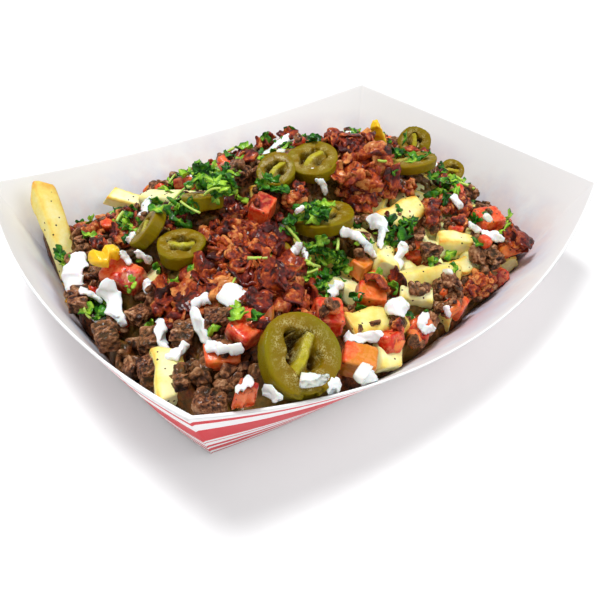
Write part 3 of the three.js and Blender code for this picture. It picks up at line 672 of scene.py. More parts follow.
def makeCore():
    # rings from the middle out to where the bed meets the walls; the top follows the bed's height, lowered and
    # roughened, and the outer ring lies on the wall
    columns, rings = bed["columns"], bed["rings"]
    u = np.tile(np.linspace(0, 1, columns, endpoint=False), 4)
    side = np.repeat(np.arange(4), columns)
    field = blurred(moundHeights, bed["blur"])
    field = field + liftUnder(placed, field, bed["board"], bed["sink"], bed["edgeDrop"])
    levels = np.linspace(0.1, 0.8, bed["levels"])
    walls = np.stack([wallPoints(side, u, level, bed["board"]) for level in levels])
    covered = sampled(field, walls[..., 0], walls[..., 1]) - bed["edgeDrop"] > walls[..., 2]
    meets = np.where(covered.any(0), bed["levels"] - 1 - covered[::-1].argmax(0), 0)
    edge = walls[meets, np.arange(len(u))]
    foot = wallPoints(side, u, 0.04, bed["board"])
    foot[:, 2] = bed["underside"]
    shares = np.linspace(0.015, 1, rings)[:, None, None]
    top = (edge[None] * shares).reshape(-1, 3)
    rough = bed["relief"] * softNoise(top[:, :2], 8.0, 61, 3) + bed["grit"] * (0.5 - 1.6 * np.abs(softNoise(top[:, :2], 4.0, 62, 2)))
    surface = sampled(field, top[:, 0], top[:, 1]) - bed["sink"] + rough
    top[:, 2] = np.maximum(surface, np.maximum(wallUnder(top[:, 0], top[:, 1], bed["board"]), 0) + 2.0)
    ragged = np.stack([softNoise(top, 3.0, seed, 2) for seed in (64, 65)], 1)
    top[:-len(u), :2] += (bed["ragged"] * ragged)[:-len(u)]
    top[-len(u):, 2] = edge[:, 2]
    middle = np.array([[0, 0, top[:len(u), 2].mean()], [0, 0, bed["underside"]]])
    points = np.concatenate([top, foot, middle])
    count = 4 * columns
    total = len(top) + count
    faces = [gridFaces(rings + 1, count, True), fanFaces(total, np.arange(count)),
             fanFaces(total + 1, len(top) + np.arange(count), True)]
    makePiece("bedCore", points, faces, coreLook(), ["fries_heap"])
    return top


coreTop = makeCore()
print("core of the bed made")

fries = {
    # one end, other end, thickness and slant of the cut of the fries that stand out, in millimetres
    "shown": [
        ((-93, 42, 14), (-89.5, 67, 40), 9.0, 1.1), ((-40, 44, 24), (-60, 72, 28), 7, 0.6),
        ((-34, 28, 36), (-50, 55, 31), 7.5, 0.4), ((18, -25, 32), (42, -27, 34), 11, 0.1),
        ((6, -48, 22), (34, -57, 20), 9.5, 0.3), ((35, -56, 19), (66, -55, 18), 9, 0.2),
        ((38, -43, 26), (50, -53, 25), 9, 0.1), ((13, -33, 26), (4, -44, 26), 9.5, 0.1),
        ((-33, -59, 25), (-13, -66, 22), 11, 0.3), ((-19, -65, 22), (-29, -77, 17), 9, 0.3),
        ((-92, -33, 27.5), (-100, -50, 26), 9.5, 0.3), ((2, -54, 21), (12, -63, 20), 8.5, 0.2),
    ],
    # middles, length, compass turn and thickness of more that only lie on the bed
    "patches": [(10, 6, 84, 58, 0, 46), (50, -46, 40, 20, -6, 18), (84, -6, 18, 48, 0, 18), (0, 66, 78, 12, 0, 44),
                (-76, 44, 20, 18, 0, 16)],
    "bare": 9, "length": (28, 58), "thick": (7.5, 9.5), "slant": 0.5, "seed": 71,
    "body": 15, "sides": 20, "squareness": 0.22, "edge": 1.5, "ruffle": 0.22,
    "pale": tint(248, 242, 186), "butter": tint(242, 222, 116), "golden": tint(232, 164, 50), "brown": tint(186, 102, 30),
    "speck": tint(58, 40, 10),
}


def fryLook():
    # pale potato that turns golden at its edges and cut ends, in blotches
    look, tree, shader, where = startLook("friedPotato", Roughness=0.38, IOR=1.42, Subsurface_Weight=0.2,
                                          Subsurface_Scale=0.004, Coat_Weight=0.15, Coat_Roughness=0.2,
                                          Specular_IOR_Level=0.35)
    blotch = addMottle(tree, where, 170.0, 2.6, (0, 0, 0, 1), (1, 1, 1, 1))
    edge = addNode(tree, "ShaderNodeMath", {0: pointValue(tree, "browning"), 1: 0.72}, operation="MULTIPLY")
    spots = addNode(tree, "ShaderNodeMath", {0: blotch.outputs["Mask"], 1: 0.34, 2: edge.outputs[0]},
                    operation="MULTIPLY_ADD")
    colour = addRamp(tree, spots.outputs[0], [(0.12, fries["pale"]), (0.48, fries["butter"]), (0.8, fries["golden"]),
                                              (1.0, fries["brown"])])
    tree.links.new(withSpecks(tree, where, colour, fries["speck"]), shader.inputs["Base Color"])
    addGrain(tree, shader, where, 620.0, 0.4, 0.0005)
    return look


def stickShapes(starts, ends, thick, slant, draw):
    # each fry: a square section with small round edges, carried along the line between its ends, which bows a
    # little, swells and thins; its ends are cut flat and aslant, with their rims rounded like the long edges
    count, sides = len(starts), fries["sides"]
    rim = np.array([[0.0, 0.4], [0.0, 0.8], [0.12, 0.93], [0.45, 0.985], [1.0, 1.0]])  # depth from the end, width
    body = np.linspace(0, 1, fries["body"] + 2)[1:-1]
    length = np.linalg.norm(ends - starts, axis=1)[:, None, None]
    direction = (ends - starts) / length[:, :, 0]
    depth = rim[:, 0] * fries["edge"]
    inner = depth[-1] + body * (length[:, :, 0] - 2 * depth[-1])
    places = np.concatenate([np.tile(depth, (count, 1)), inner, length[:, :, 0] - depth[::-1]], 1)[:, :, None]
    widths = np.concatenate([rim[:, 1], np.ones(len(body)), rim[::-1, 1]])[None, :, None]
    along = 2 * places / length - 1
    around = np.linspace(0, 2 * np.pi, sides, endpoint=False)[None, None, :] + np.pi / sides
    corner = lambda wave: np.sign(wave) * np.abs(wave) ** (2 * fries["squareness"])
    aside = np.cross(direction, [0, 0, 1.0])
    aside /= np.linalg.norm(aside, axis=1)[:, None]
    above = np.cross(aside, direction)
    roll = draw.uniform(-0.5, 0.5, count)[:, None]
    aside, above = aside * np.cos(roll) + above * np.sin(roll), above * np.cos(roll) - aside * np.sin(roll)
    uneven = 1 + 0.08 * np.sin(along * draw.uniform(2, 5, (count, 1, 1)) + draw.uniform(0, 6, (count, 1, 1)))
    half = thick[:, None, None] / 2 * widths * uneven
    wide = half * draw.uniform(0.95, 1.12, (count, 1, 1)) * corner(np.cos(around))
    high = half * draw.uniform(0.86, 1.02, (count, 1, 1)) * corner(np.sin(around))
    bow = draw.uniform(-0.06, 0.06, (count, 1, 1)) * length * (1 - along ** 2)
    turned = draw.uniform(0, 2 * np.pi, (count, 2, 1, 1))
    tilt = np.where(along < 0, np.cos(turned[:, 0]) * wide + np.sin(turned[:, 0]) * high,
                    np.cos(turned[:, 1]) * wide + np.sin(turned[:, 1]) * high)
    near = np.clip((np.abs(along) - 0.45) / 0.55, 0, 1) ** 2
    reach = along * length / 2 + slant[:, None, None] * tilt * near
    middle = ((starts + ends) / 2)[:, None, None, :]
    points = (middle + reach[..., None] * direction[:, None, None, :] + (wide + bow)[..., None] * aside[:, None, None, :]
              + high[..., None] * above[:, None, None, :])
    atEnd = 1 - np.clip(np.minimum(places, length - places) / (2.5 * fries["edge"]), 0, 1)
    flat = widths < 0.9
    longEdge = np.abs(np.sin(2 * around)) ** 3 * ~flat
    tone = draw.uniform(-0.25, 0.4, (count, 1, 1))
    browned = draw.uniform(0.2, 0.75, (count, 1, 1))
    browning = np.clip(tone + browned * longEdge + 0.4 * atEnd * ~flat + 0 * half, 0, 1)
    rings = points.reshape(count, -1, 3)
    rings = rings + fries["ruffle"] * softNoise(rings, 4.5, 72, 3)[..., None]
    tips = np.stack([points[:, 0].mean(1), points[:, -1].mean(1)], 1)
    values = np.concatenate([browning.reshape(count, -1), np.clip(np.tile(tone[:, 0], (1, 2)), 0, 1)], 1)
    stations = points.shape[1]
    total = stations * sides
    faces = [gridFaces(stations, sides, True)[:, ::-1], np.concatenate([
        fanFaces(total, np.arange(sides), True), fanFaces(total + 1, total - sides + np.arange(sides))])]
    return np.concatenate([rings, tips], 1), faces, values


def fillerEnds(draw):
    # fries laid flat on the bed at drawn spots, leaning with it, and kept off the walls
    spots = spotsIn(fries["patches"], draw)
    count = len(spots)
    around, half = draw.uniform(0, np.pi, count), draw.uniform(*fries["length"], count) / 2
    step = np.stack([half * np.cos(around), half * np.sin(around)], 1)
    thick = draw.uniform(*fries["thick"], count)
    field = blurred(moundHeights, 4) + 1.5
    ends = []
    for sign in (-1, 1):
        end = spots + sign * step
        wall = wallUnder(end[:, 0], end[:, 1], paperTray["board"])
        under = np.maximum(sampled(field, *end.T) - thick * 0.45, wall + thick * 0.75)
        ends.append(np.column_stack([end, under]))
    middle = (ends[0] + ends[1]) / 2
    flat = np.abs(ends[0][:, 2] - ends[1][:, 2]) < 0.45 * 2 * half
    low = (middle[:, 2] < sampled(field, middle[:, 0], middle[:, 1]) + 1.0)
    keep = flat & low
    for end in ends:
        keep &= wallUnder(end[:, 0], end[:, 1], 0) < 30
        keep &= end[:, 2] < sampled(field, end[:, 0], end[:, 1]) + 5
    return ends[0][keep], ends[1][keep], thick[keep]


def makeFries():
    draw = np.random.default_rng(fries["seed"])
    shownStarts, shownEnds = (np.array([row[end] for row in fries["shown"]], float) for end in (0, 1))
    shownThick, shownSlant = (np.array([row[spot] for row in fries["shown"]], float) for spot in (2, 3))
    starts, ends, thick = fillerEnds(draw)
    slant = np.concatenate([shownSlant, draw.uniform(0, fries["slant"], len(thick))])
    shapes, faces, values = stickShapes(np.concatenate([shownStarts, starts]), np.concatenate([shownEnds, ends]),
                                        np.concatenate([shownThick, thick]), slant, draw)
    count = len(shapes)
    points, blocks = copiesOf(shapes, faces, np.tile(np.eye(3), (count, 1, 1)), np.zeros((count, 3)))
    makePiece("friedPotatoes", points, blocks, fryLook(), ["fries_heap"], {"browning": values.ravel()})
    # the ground also takes points between the rings, because these are further apart than its cells
    sides = fries["sides"]
    dense = np.concatenate([shapes] + [(1 - share) * shapes[:, :-sides - 2] + share * shapes[:, sides:-2]
                                       for share in (0.25, 0.5, 0.75)], 1)
    raiseGround(dense[:len(fries["shown"])].reshape(-1, 3), True)
    raiseGround(dense.reshape(-1, 3))
    heights[:] = -opened(-heights, 1)  # single cells that no point met are closed
    taken[:] = -opened(-taken.astype(float), 1) > 0.5
    return count


walls = wallUnder(cellX, cellY, 2 * paperTray["board"])
heights[:] = np.where(walls > paperTray["rimHeight"], 0, np.maximum(walls, paperTray["board"]))
raiseGround(coreTop)
heights[:] = np.maximum(heights, blurred(moundHeights, 3) - 2.4)
print("fries:", makeFries())
taken[np.hypot(cellX + 92, cellY - 57) < fries["bare"]] = True  # round the tall one by the wall


# Chopped pieces: each keeps the form of its solid

def roundedNode(name, rows, cols, sharpness, swell=1.0):
    # along each direction the skin lies at a soft minimum of the distances to the solid's face planes
    triangles = nodeFaces(name)
    corners = np.unique(triangles.reshape(-1, 3).round(2), axis=0)
    middle = corners.mean(0)
    outward = np.cross(triangles[:, 1] - triangles[:, 0], triangles[:, 2] - triangles[:, 0])
    outward /= np.linalg.norm(outward, axis=1)[:, None]
    distance = np.einsum("ij,ij->i", outward, triangles[:, 0] - middle)
    planes = np.unique(np.column_stack([outward.round(2), distance.round(1)]), axis=0)
    directions, faces = ball(rows, cols)
    facing = np.maximum(directions @ planes[:, :3].T / planes[:, 3], 0)
    reach = swell * (facing ** sharpness).sum(1) ** (-1 / sharpness)
    return middle, directions, reach, faces


def chunkShapes(count, size, draw, rows, cols, sharpness=9, stretch=(1.25, 0.95, 0.72), slack=0.22):
    # cut chunks about their own middles: along each direction the skin lies at a soft minimum of the distances to
    # six box planes and three more, all tilted and moved by a drawn amount
    directions, faces = ball(rows, cols)
    box = np.tile(np.concatenate([np.eye(3), -np.eye(3)]), (count, 1, 1)) * 1.5
    more = draw.normal(size=(count, 3, 3))
    more /= np.linalg.norm(more, axis=2)[:, :, None]
    planes = np.concatenate([box, more], 1) + slack * draw.normal(size=(count, 9, 3))
    planes /= np.linalg.norm(planes, axis=2)[:, :, None]
    distance = np.concatenate([draw.uniform(0.36, 0.5, (count, 6)), draw.uniform(0.42, 0.6, (count, 3))], 1)
    facing = np.maximum(np.einsum("vk,npk->nvp", directions, planes) / distance[:, None, :], 0.02)
    reach = np.minimum((facing ** sharpness).sum(2) ** (-1 / sharpness), 0.66)
    scale = size[:, None, None] * np.array(stretch) * draw.uniform(0.85, 1.15, (count, 1, 3))
    return directions * reach[..., None] * scale, directions, faces


steak = {
    "rows": 52, "cols": 80, "sharpness": 14, "lumps": 0.7, "ridges": 0.45, "grit": 0.42, "seed": 81,
    # where chunks show in the photograph: pixel, reach in pixels and count; and where they lie besides, in millimetres
    "seen": [(125, 350, 32, 34, 34), (84, 300, 14, 24, 7), (222, 398, 20, 12, 7), (212, 376, 16, 8, 6), (244, 392, 8, 8, 3), (226, 338, 18, 14, 10),
             (162, 300, 14, 26, 9), (90, 262, 14, 10, 4), (355, 240, 36, 16, 14), (440, 238, 30, 22, 20),
             (486, 252, 16, 14, 5), (420, 205, 46, 16, 16), (434, 300, 26, 12, 8),
             (182, 326, 20, 24, 10), (246, 178, 10, 14, 4)],
    "spread": [(0, 36, 66, 20, 0, 40), (74, 16, 18, 34, 0, 24), (-86, 16, 8, 26, 0, 12), (0, 0, 94, 66, 0, 60),
               (0, 58, 74, 9, 0, 40), (-76, 44, 24, 22, 0, 26), (-64, -56, 22, 14, -12, 40),
               (-79, 55, 7, 9, 0, 7)],
    "edge": 90,
    "chunkSize": (5.5, 10.5), "chunkRows": 17, "chunkCols": 25,
    # the two darkest are painted shade in the valleys, partly charring; the lightest is a painted highlight on ridges
    "charAndValleyShade": tint(22, 8, 4), "deep": tint(80, 40, 24), "brown": tint(158, 98, 62), "lit": tint(230, 178, 134),
    "green": tint(112, 92, 44),
}
steakCrumb = {
    "seen": [(125, 350, 40, 40, 70), (216, 392, 26, 18, 22), (224, 382, 26, 14, 30), (226, 338, 30, 26, 44), (84, 295, 16, 34, 16),
             (355, 240, 50, 22, 44), (420, 230, 36, 24, 44), (440, 285, 26, 12, 20), (262, 345, 30, 30, 20), (434, 300, 34, 18, 24),
             (262, 404, 16, 8, 14), (360, 396, 20, 8, 10), (251, 366, 8, 20, 14), (484, 288, 20, 14, 22), (414, 346, 14, 9, 16)],
    "spread": [(-88, 0, 12, 50, 0, 30), (0, 36, 66, 22, 0, 70), (74, 0, 24, 50, 0, 60), (0, -60, 70, 10, 0, 50),
               (0, 0, 94, 66, 0, 120), (0, 58, 78, 8, 0, 80), (-10, -64, 60, 8, 0, 40),
               (-76, 44, 26, 24, 0, 50), (-64, -56, 24, 15, -12, 64), (-80, 55, 9, 11, 0, 40)],
    "edge": 130, "size": (2.4, 4.8), "rows": 8, "cols": 12,
}


def steakLook():
    # painted shade where the skin sinks and painted highlight where it stands up, in blotches, some of them olive at
    # random
    look, tree, shader, where = startLook("grilledSteak", Roughness=0.42, IOR=1.42, Coat_Weight=0.3,
                                          Coat_Roughness=0.12, Specular_IOR_Level=0.2)
    fine = addMottle(tree, where, 900.0, 3.4, (0, 0, 0, 1), (1, 1, 1, 1))
    shade = addNode(tree, "ShaderNodeMath", {0: fine.outputs["Mask"], 1: 0.42, 2: pointValue(tree, "tone")},
                    operation="MULTIPLY_ADD")
    half = addNode(tree, "ShaderNodeMath", {0: shade.outputs[0], 1: 0.72}, operation="MULTIPLY")
    colour = addRamp(tree, half.outputs[0], [(0.06, steak["charAndValleyShade"]), (0.3, steak["deep"]), (0.58, steak["brown"]),
                                             (0.92, steak["lit"])])
    large = addMottle(tree, where, 120.0, 6.0, (0, 0, 0, 1), (1, 1, 1, 1))
    some = addNode(tree, "ShaderNodeMath", {0: large.outputs["Mask"], 1: 0.26}, operation="MULTIPLY")
    tree.links.new(mixColours(tree, some.outputs[0], colour, steak["green"]), shader.inputs["Base Color"])
    addGrain(tree, shader, where, 1500.0, 1.0, 0.0009)
    return look


def roughened(points, directions, share, seed):
    # moved along its own direction by lumps a few millimetres long, by ridges with sharp valleys between them and
    # by fine grit, all stretched along the grain; the tone carries painted highlight on ridges and painted shade in
    # valleys
    grain = points * np.array([0.6, 1.0, 1.0])
    lumps = softNoise(grain, 5.5, seed, 2)
    ridges = 0.5 - 1.6 * np.abs(softNoise(grain, 4.2, seed + 1, 2))
    grit = 0.4 - 1.4 * np.abs(softNoise(grain, 1.7, seed + 2, 2))
    rise = steak["lumps"] * lumps + steak["ridges"] * ridges + steak["grit"] * grit
    # painted light: the tone is lifted on lumps and ridges as a highlight and dropped in valleys as shade
    tone = np.clip(0.42 + 0.26 * lumps + 0.5 * ridges + 0.45 * grit, 0, 1)
    return points + directions * (share * rise)[..., None], tone


steakSkin = steakLook()


def makeSteakPieces():
    for index, name in enumerate(numbered("steak")):
        middle, directions, reach, faces = roundedNode(name, steak["rows"], steak["cols"], steak["sharpness"])
        points, tone = roughened(middle + directions * reach[:, None], directions, 1.0, steak["seed"] + 3 * index)
        makePiece(f"steakDice{index + 1}", points, faces, steakSkin, [name], {"tone": tone})
        raiseGround(points, True)


makeSteakPieces()
print("steak dice made")


# Tomato dice

tomato = {
    "rows": 28, "cols": 44, "sharpness": 20, "dents": 0.22, "seed": 101,
    "seen": [(238, 338, 20, 10, 3), (222, 366, 20, 10, 3), (262, 400, 20, 12, 2), (330, 322, 20, 16, 3),
             (412, 336, 20, 14, 8), (450, 304, 18, 12, 7), (370, 292, 20, 14, 3), (512, 248, 12, 12, 3),
             (470, 240, 34, 26, 10), (268, 396, 8, 8, 3), (400, 345, 14, 8, 4), (415, 255, 16, 10, 3),
             (440, 285, 26, 10, 4), (446, 312, 30, 12, 5),
             (356, 372, 26, 14, 4), (262, 215, 16, 12, 2), (300, 190, 14, 14, 2), (250, 255, 40, 40, 3)],
    "spread": [(0, 34, 70, 22, 0, 12), (-76, 44, 24, 22, 0, 6), (0, 56, 72, 10, 0, 14), (70, 10, 24, 44, 0, 10), (0, 0, 92, 66, 0, 12),
               (-64, -56, 20, 12, -12, 8)],
    "bitSize": (5.0, 9.0),
    "edge": 26, "ripeOnes": {0: 0.5, 1: 0.55, 4: 0.12, 5: 0.3, 6: 0.6, 8: 0.6, 9: 0.4, 10: 0.0, 11: 0.55, 14: 0.5},
    "amber": tint(214, 128, 16), "coral": tint(236, 104, 34), "red": tint(218, 44, 10), "wine": tint(150, 14, 6),
    "pale": tint(246, 166, 104),
}


def tomatoLook():
    # wet flesh whose own colour runs by a value from amber over coral and red to wine, with paler veins in it
    look, tree, shader, where = startLook("wetTomato", Roughness=0.3, Specular_IOR_Level=0.3, Coat_Weight=0.3, Coat_Roughness=0.06,
                                          Subsurface_Weight=0.1, Subsurface_Scale=0.002)
    blotch = addMottle(tree, where, 240.0, 2.6, (0, 0, 0, 1), (1, 1, 1, 1))
    wander = addNode(tree, "ShaderNodeMath", {0: blotch.outputs["Mask"], 1: 0.36, 2: -0.18}, operation="MULTIPLY_ADD")
    place = addNode(tree, "ShaderNodeMath", {0: pointValue(tree, "ripeness"), 1: wander.outputs[0]}, operation="ADD")
    colour = addRamp(tree, place.outputs[0], [(0.04, tomato["amber"]), (0.3, tomato["coral"]), (0.62, tomato["red"]),
                                              (0.95, tomato["wine"])])
    veins = addMottle(tree, where, 520.0, 9.0, (0, 0, 0, 1), (1, 1, 1, 1))
    few = addNode(tree, "ShaderNodeMath", {0: veins.outputs["Mask"], 1: 0.3}, operation="MULTIPLY")
    colour = withSpecks(tree, where, mixColours(tree, few.outputs[0], colour, tomato["pale"]), fries["speck"])
    tree.links.new(colour, shader.inputs["Base Color"])
    addGrain(tree, shader, where, 700.0, 0.45, 0.0005)
    return look


tomatoFlesh = tomatoLook()


def ripened(directions, base, skinSide, noise):
    # a deeper, redder skin on one side of a piece
    skin = np.clip((directions @ skinSide - 0.5) * 5, 0, 1)
    return np.clip(base + 0.45 * skin + 0.12 * noise, 0, 1)


def makeTomatoes():
    draw = np.random.default_rng(tomato["seed"])
    for index, name in enumerate(numbered("tomato")):
        middle, directions, reach, faces = roundedNode(name, tomato["rows"], tomato["cols"], tomato["sharpness"], 1.04)
        points = middle + directions * reach[:, None]
        uneven = softNoise(points, 6.0, tomato["seed"] + index)
        points += directions * (tomato["dents"] * uneven + 0.14 * softNoise(points, 1.8, tomato["seed"], 2))[:, None]
        skinSide = draw.normal(size=3) + [0, -0.3, -0.2]
        base = tomato["ripeOnes"].get(index, draw.uniform(0.05, 0.7))
        ripeness = ripened(directions, base, skinSide / np.linalg.norm(skinSide), uneven)
        makePiece(f"tomatoDice{index + 1}", points, faces, tomatoFlesh, [name], {"ripeness": ripeness})
        raiseGround(points, True)


makeTomatoes()
print("tomato made")


# Pepper slices

pepper = {
    "wallShare": 0.5, "around": 96, "profile": 28, "squareness": 0.3, "taper": 0.012, "warp": 0.03,
    "seed": 121, "ribHalf": 0.3, "ribRise": 0.96, "floor": 0.66, "pocketDepth": 1.3, "rings": 18, "seeds": 2,
    "spins": {0: 2.67, 3: 3.14}, "seedSize": (1.5, 1.1, 0.5),
    "skin": tint(126, 118, 0), "rind": tint(126, 112, 0), "flesh": tint(120, 98, 0), "pith": tint(130, 116, 2),
    # the dark brown is painted shade for the pockets' hollows; the pale speck colour is painted glints on the cut flesh
    "rib": tint(190, 186, 44), "shadedPocket": tint(70, 36, 2), "kernel": tint(226, 206, 130), "paintedGlint": tint(226, 218, 150),
    "amber": tint(142, 98, 6),
}


def pepperLook():
    # the depth value runs from seed and rib over the hole's edge and the wet flesh to the skin; pockets get painted
    # shade, dark brown, and the cut flesh gets painted glints, pale specks mixed into its colour
    look, tree, shader, where = startLook("wetPepper", Roughness=0.3, Specular_IOR_Level=0.06, Coat_Weight=0.1,
                                          Coat_Roughness=0.05,
                                          Subsurface_Weight=0.06, Subsurface_Scale=0.002)
    blotch = addMottle(tree, where, 300.0, 1.6, (0.0, 0.0, 0.0, 1), (1, 1, 1, 1)).outputs["Mask"]
    wander = addNode(tree, "ShaderNodeMath", {0: blotch, 1: 0.08, 2: -0.04}, operation="MULTIPLY_ADD")
    depth = pointValue(tree, "depth")
    place = addNode(tree, "ShaderNodeMath", {0: depth, 1: wander.outputs[0]}, operation="ADD")
    colour = addRamp(tree, place.outputs[0], [
        (0.05, pepper["kernel"]), (0.16, pepper["rib"]), (0.34, pepper["pith"]), (0.46, pepper["flesh"]),
        (0.86, pepper["rind"]), (0.95, pepper["skin"])])
    warm = addMottle(tree, where, 70.0, 3.0, (0, 0, 0, 1), (1, 1, 1, 1)).outputs["Mask"]
    some = addNode(tree, "ShaderNodeMath", {0: warm, 1: 0.55}, operation="MULTIPLY")
    colour = mixColours(tree, some.outputs[0], colour, pepper["amber"])
    # painted shade: the pockets' hollows are mixed toward dark brown
    colour = mixColours(tree, pointValue(tree, "shadedPocket"), colour, pepper["shadedPocket"])
    # painted glints: pale specks mixed into the colour of the cut flesh
    specks = addMottle(tree, where, 2200.0, 16.0, (0, 0, 0, 1), (1, 1, 1, 1)).outputs["Mask"]
    cut = addNode(tree, "ShaderNodeMapRange", {"Value": depth, "From Min": 0.9, "From Max": 0.7,
                                               "To Min": 0.0, "To Max": 0.6}).outputs[0]
    paintedGlint = addNode(tree, "ShaderNodeMath", {0: specks, 1: cut}, operation="MULTIPLY").outputs[0]
    few = addNode(tree, "ShaderNodeMapRange", {"Value": blotch, "From Min": 0.4, "From Max": 0.8}).outputs[0]
    cluster = addNode(tree, "ShaderNodeMath", {0: paintedGlint, 1: few}, operation="MULTIPLY").outputs[0]
    tree.links.new(mixColours(tree, cluster, colour, pepper["paintedGlint"]), shader.inputs["Base Color"])
    addGrain(tree, shader, where, 1900.0, 0.7, 0.0004)
    return look


def wallOfPepper(half):
    return pepper["wallShare"] * half[0]


def ringOfPepper(half, draw):
    # a rounded square section carried round an ellipse: the wall's inner edge wanders, the slice tapers like the
    # pepper it was cut from, and the whole is warped like a saddle
    around = np.linspace(0, 2 * np.pi, pepper["around"], endpoint=False)[None, :]
    section = np.linspace(0, 2 * np.pi, pepper["profile"], endpoint=False)[:, None]
    corner = lambda wave: np.sign(wave) * np.abs(wave) ** pepper["squareness"]
    phases = draw.uniform(0, 2 * np.pi, 4)
    outer = 1 + 0.02 * np.sin(3 * around + phases[0]) + 0.012 * np.sin(5 * around + phases[1])
    wall = wallOfPepper(half) * (1 + 0.16 * np.sin(2 * around + phases[2]) + 0.12 * np.sin(5 * around + phases[3]))
    share = corner(np.cos(section))
    rise = corner(np.sin(section)) * half[2]
    inward = (1 - share) / 2 * wall
    wide = half[0] * outer * (1 + pepper["taper"] * rise) - inward
    deep = half[1] * outer * (1 + pepper["taper"] * rise) - inward
    x, y = wide * np.cos(around), deep * np.sin(around)
    z = rise + pepper["warp"] * half[0] * np.cos(2 * around + phases[0]) * (x ** 2 + y ** 2) / half[0] ** 2
    points = np.stack([x, y, z], -1).reshape(-1, 3)
    depth = (0.42 + 0.58 * (1 + share + 0 * around) / 2).ravel()
    points = points + 0.12 * softNoise(points, 1.6, int(draw.integers(1000)), 2)[:, None]
    index = np.arange(pepper["profile"] * pepper["around"]).reshape(pepper["profile"], -1)
    index = np.concatenate([index, index[:1]])
    beside = np.roll(index, -1, 1)
    faces = np.stack([index[:-1], beside[:-1], beside[1:], index[1:]], -1).reshape(-1, 4)
    return points, [faces], {"depth": depth, "shadedPocket": np.zeros(len(points))}


def turnedHeart(along, aside, spin):
    return along * np.cos(spin) - aside * np.sin(spin), along * np.sin(spin) + aside * np.cos(spin)


def heartOfPepper(half, draw, spin):
    # a closed disc across the hole: its upper side carries a flat rib, dips into a long pocket on one side of it
    # and into a small one on the other, and is flesh elsewhere
    rings, sides = pepper["rings"], 60
    hole = half[:2] - wallOfPepper(half) + 0.9
    share = np.linspace(1 / rings, 1, rings)[:, None]
    around = np.linspace(0, 2 * np.pi, sides, endpoint=False)[None, :]
    across, deep = share * np.cos(around), share * np.sin(around)
    x, y = hole[0] * across, hole[1] * deep
    along, aside = turnedHeart(across, deep, -spin)
    aside = aside + 0.12 * np.sin(2.4 * along + draw.uniform(0, 6))
    rib = np.exp(-(aside / pepper["ribHalf"]) ** 4) * (1 - 0.3 * along ** 2)
    lumps = softNoise(np.stack([x, y], -1), 3.2, int(draw.integers(1000)), 3)
    edge = 1 - share ** 8
    shadedPocket = np.clip((aside - 0.2 + 0.12 * lumps) / 0.24, 0, 1) * edge
    shadedPocket = shadedPocket + 0.8 * np.clip((-aside - 0.3) / 0.25, 0, 1) * np.exp(-((along - 0.1) / 0.36) ** 2) * edge
    level = pepper["floor"] + (pepper["ribRise"] - pepper["floor"]) * rib - pepper["pocketDepth"] * shadedPocket
    z = half[2] * (level + 0.06 * lumps)
    upper = np.stack([x + 0 * z, y + 0 * z, z], -1).reshape(-1, 3)
    lower = np.stack([x + 0 * z, y + 0 * z, np.full(z.shape, -0.95 * half[2])], -1).reshape(-1, 3)
    centre = half[2] * np.array([[0, 0, level[0].mean()], [0, 0, -0.95]])
    total = rings * sides
    rim = total - sides + np.arange(sides)
    beside = np.roll(rim, -1)
    flat = gridFaces(rings, sides, True)
    faces = [flat, flat[:, ::-1] + total, np.stack([rim, rim + total, beside + total, beside], 1), np.concatenate([
        fanFaces(2 * total, np.arange(sides)), fanFaces(2 * total + 1, total + np.arange(sides), True)])]
    # painted shade in the pockets, and a little over the lumps
    dark = np.clip(1.5 * shadedPocket - 0.15 + 0.2 * lumps * edge, 0, 0.95).ravel()
    depth = np.clip(0.52 - 0.36 * rib - 0.04 * lumps, 0.1, 0.6).ravel()
    values = {"depth": np.concatenate([depth, depth, [0.16, 0.5]]),
              "shadedPocket": np.concatenate([dark, 0 * dark, [0.0, 0.0]])}
    return np.concatenate([upper, lower, centre]), faces, values


def seedsOfPepper(half, draw, spin):
    # flat drops in the long pocket
    hole = half[:2] - wallOfPepper(half)
    count = pepper["seeds"]
    shapes, faces = ball(6, 9)
    shapes = shapes * np.array(pepper["seedSize"])
    across, deep = turnedHeart(draw.uniform(-0.5, 0.5, count), draw.uniform(0.4, 0.6, count), spin)
    places = np.stack([across * hole[0], deep * hole[1], np.full(count, pepper["floor"] - pepper["pocketDepth"] + 0.15)
                       * half[2]], 1)
    turns = turnsOf(draw.uniform(0, 6, count), draw.uniform(0, 0.9, count), draw.uniform(0, 6, count))
    points, blocks = copiesOf(np.tile(shapes, (count, 1, 1)), faces, turns, places)
    return points, blocks, {"depth": np.full(len(points), 0.02), "shadedPocket": np.zeros(len(points))}


def makePeppers():
    look = pepperLook()
    for index, name in enumerate(numbered("jalapeno")):
        draw = np.random.default_rng(pepper["seed"] + index)
        middle, axes, half = nodeAxes(name)
        spin = pepper["spins"].get(index, draw.uniform(0, 2 * np.pi))
        parts = [ringOfPepper(half, draw), heartOfPepper(half, draw, spin), seedsOfPepper(half, draw, spin)]
        points, blocks, values = joined(parts)
        points = middle + points @ axes
        makePiece(f"pepperSlice{index + 1}", points, blocks, look, [name], values)
        raiseGround(points, True)


makePeppers()
print("pepper slices made")


# Onion dice and cheese

onion = {
    "rows": 16, "cols": 24, "sharpness": 18, "seed": 141,
    "seen": [(313, 383, 5, 5, 1), (470, 225, 26, 18, 6), (262, 333, 10, 5, 2), (440, 262, 30, 16, 2), (330, 285, 8, 8, 1), (96, 318, 6, 5, 1)],
    "spread": [(0, 0, 90, 64, 0, 12)],
    "bitSize": (3.5, 5.5),
    "white": tint(250, 250, 244), "clear": tint(232, 232, 212),
}


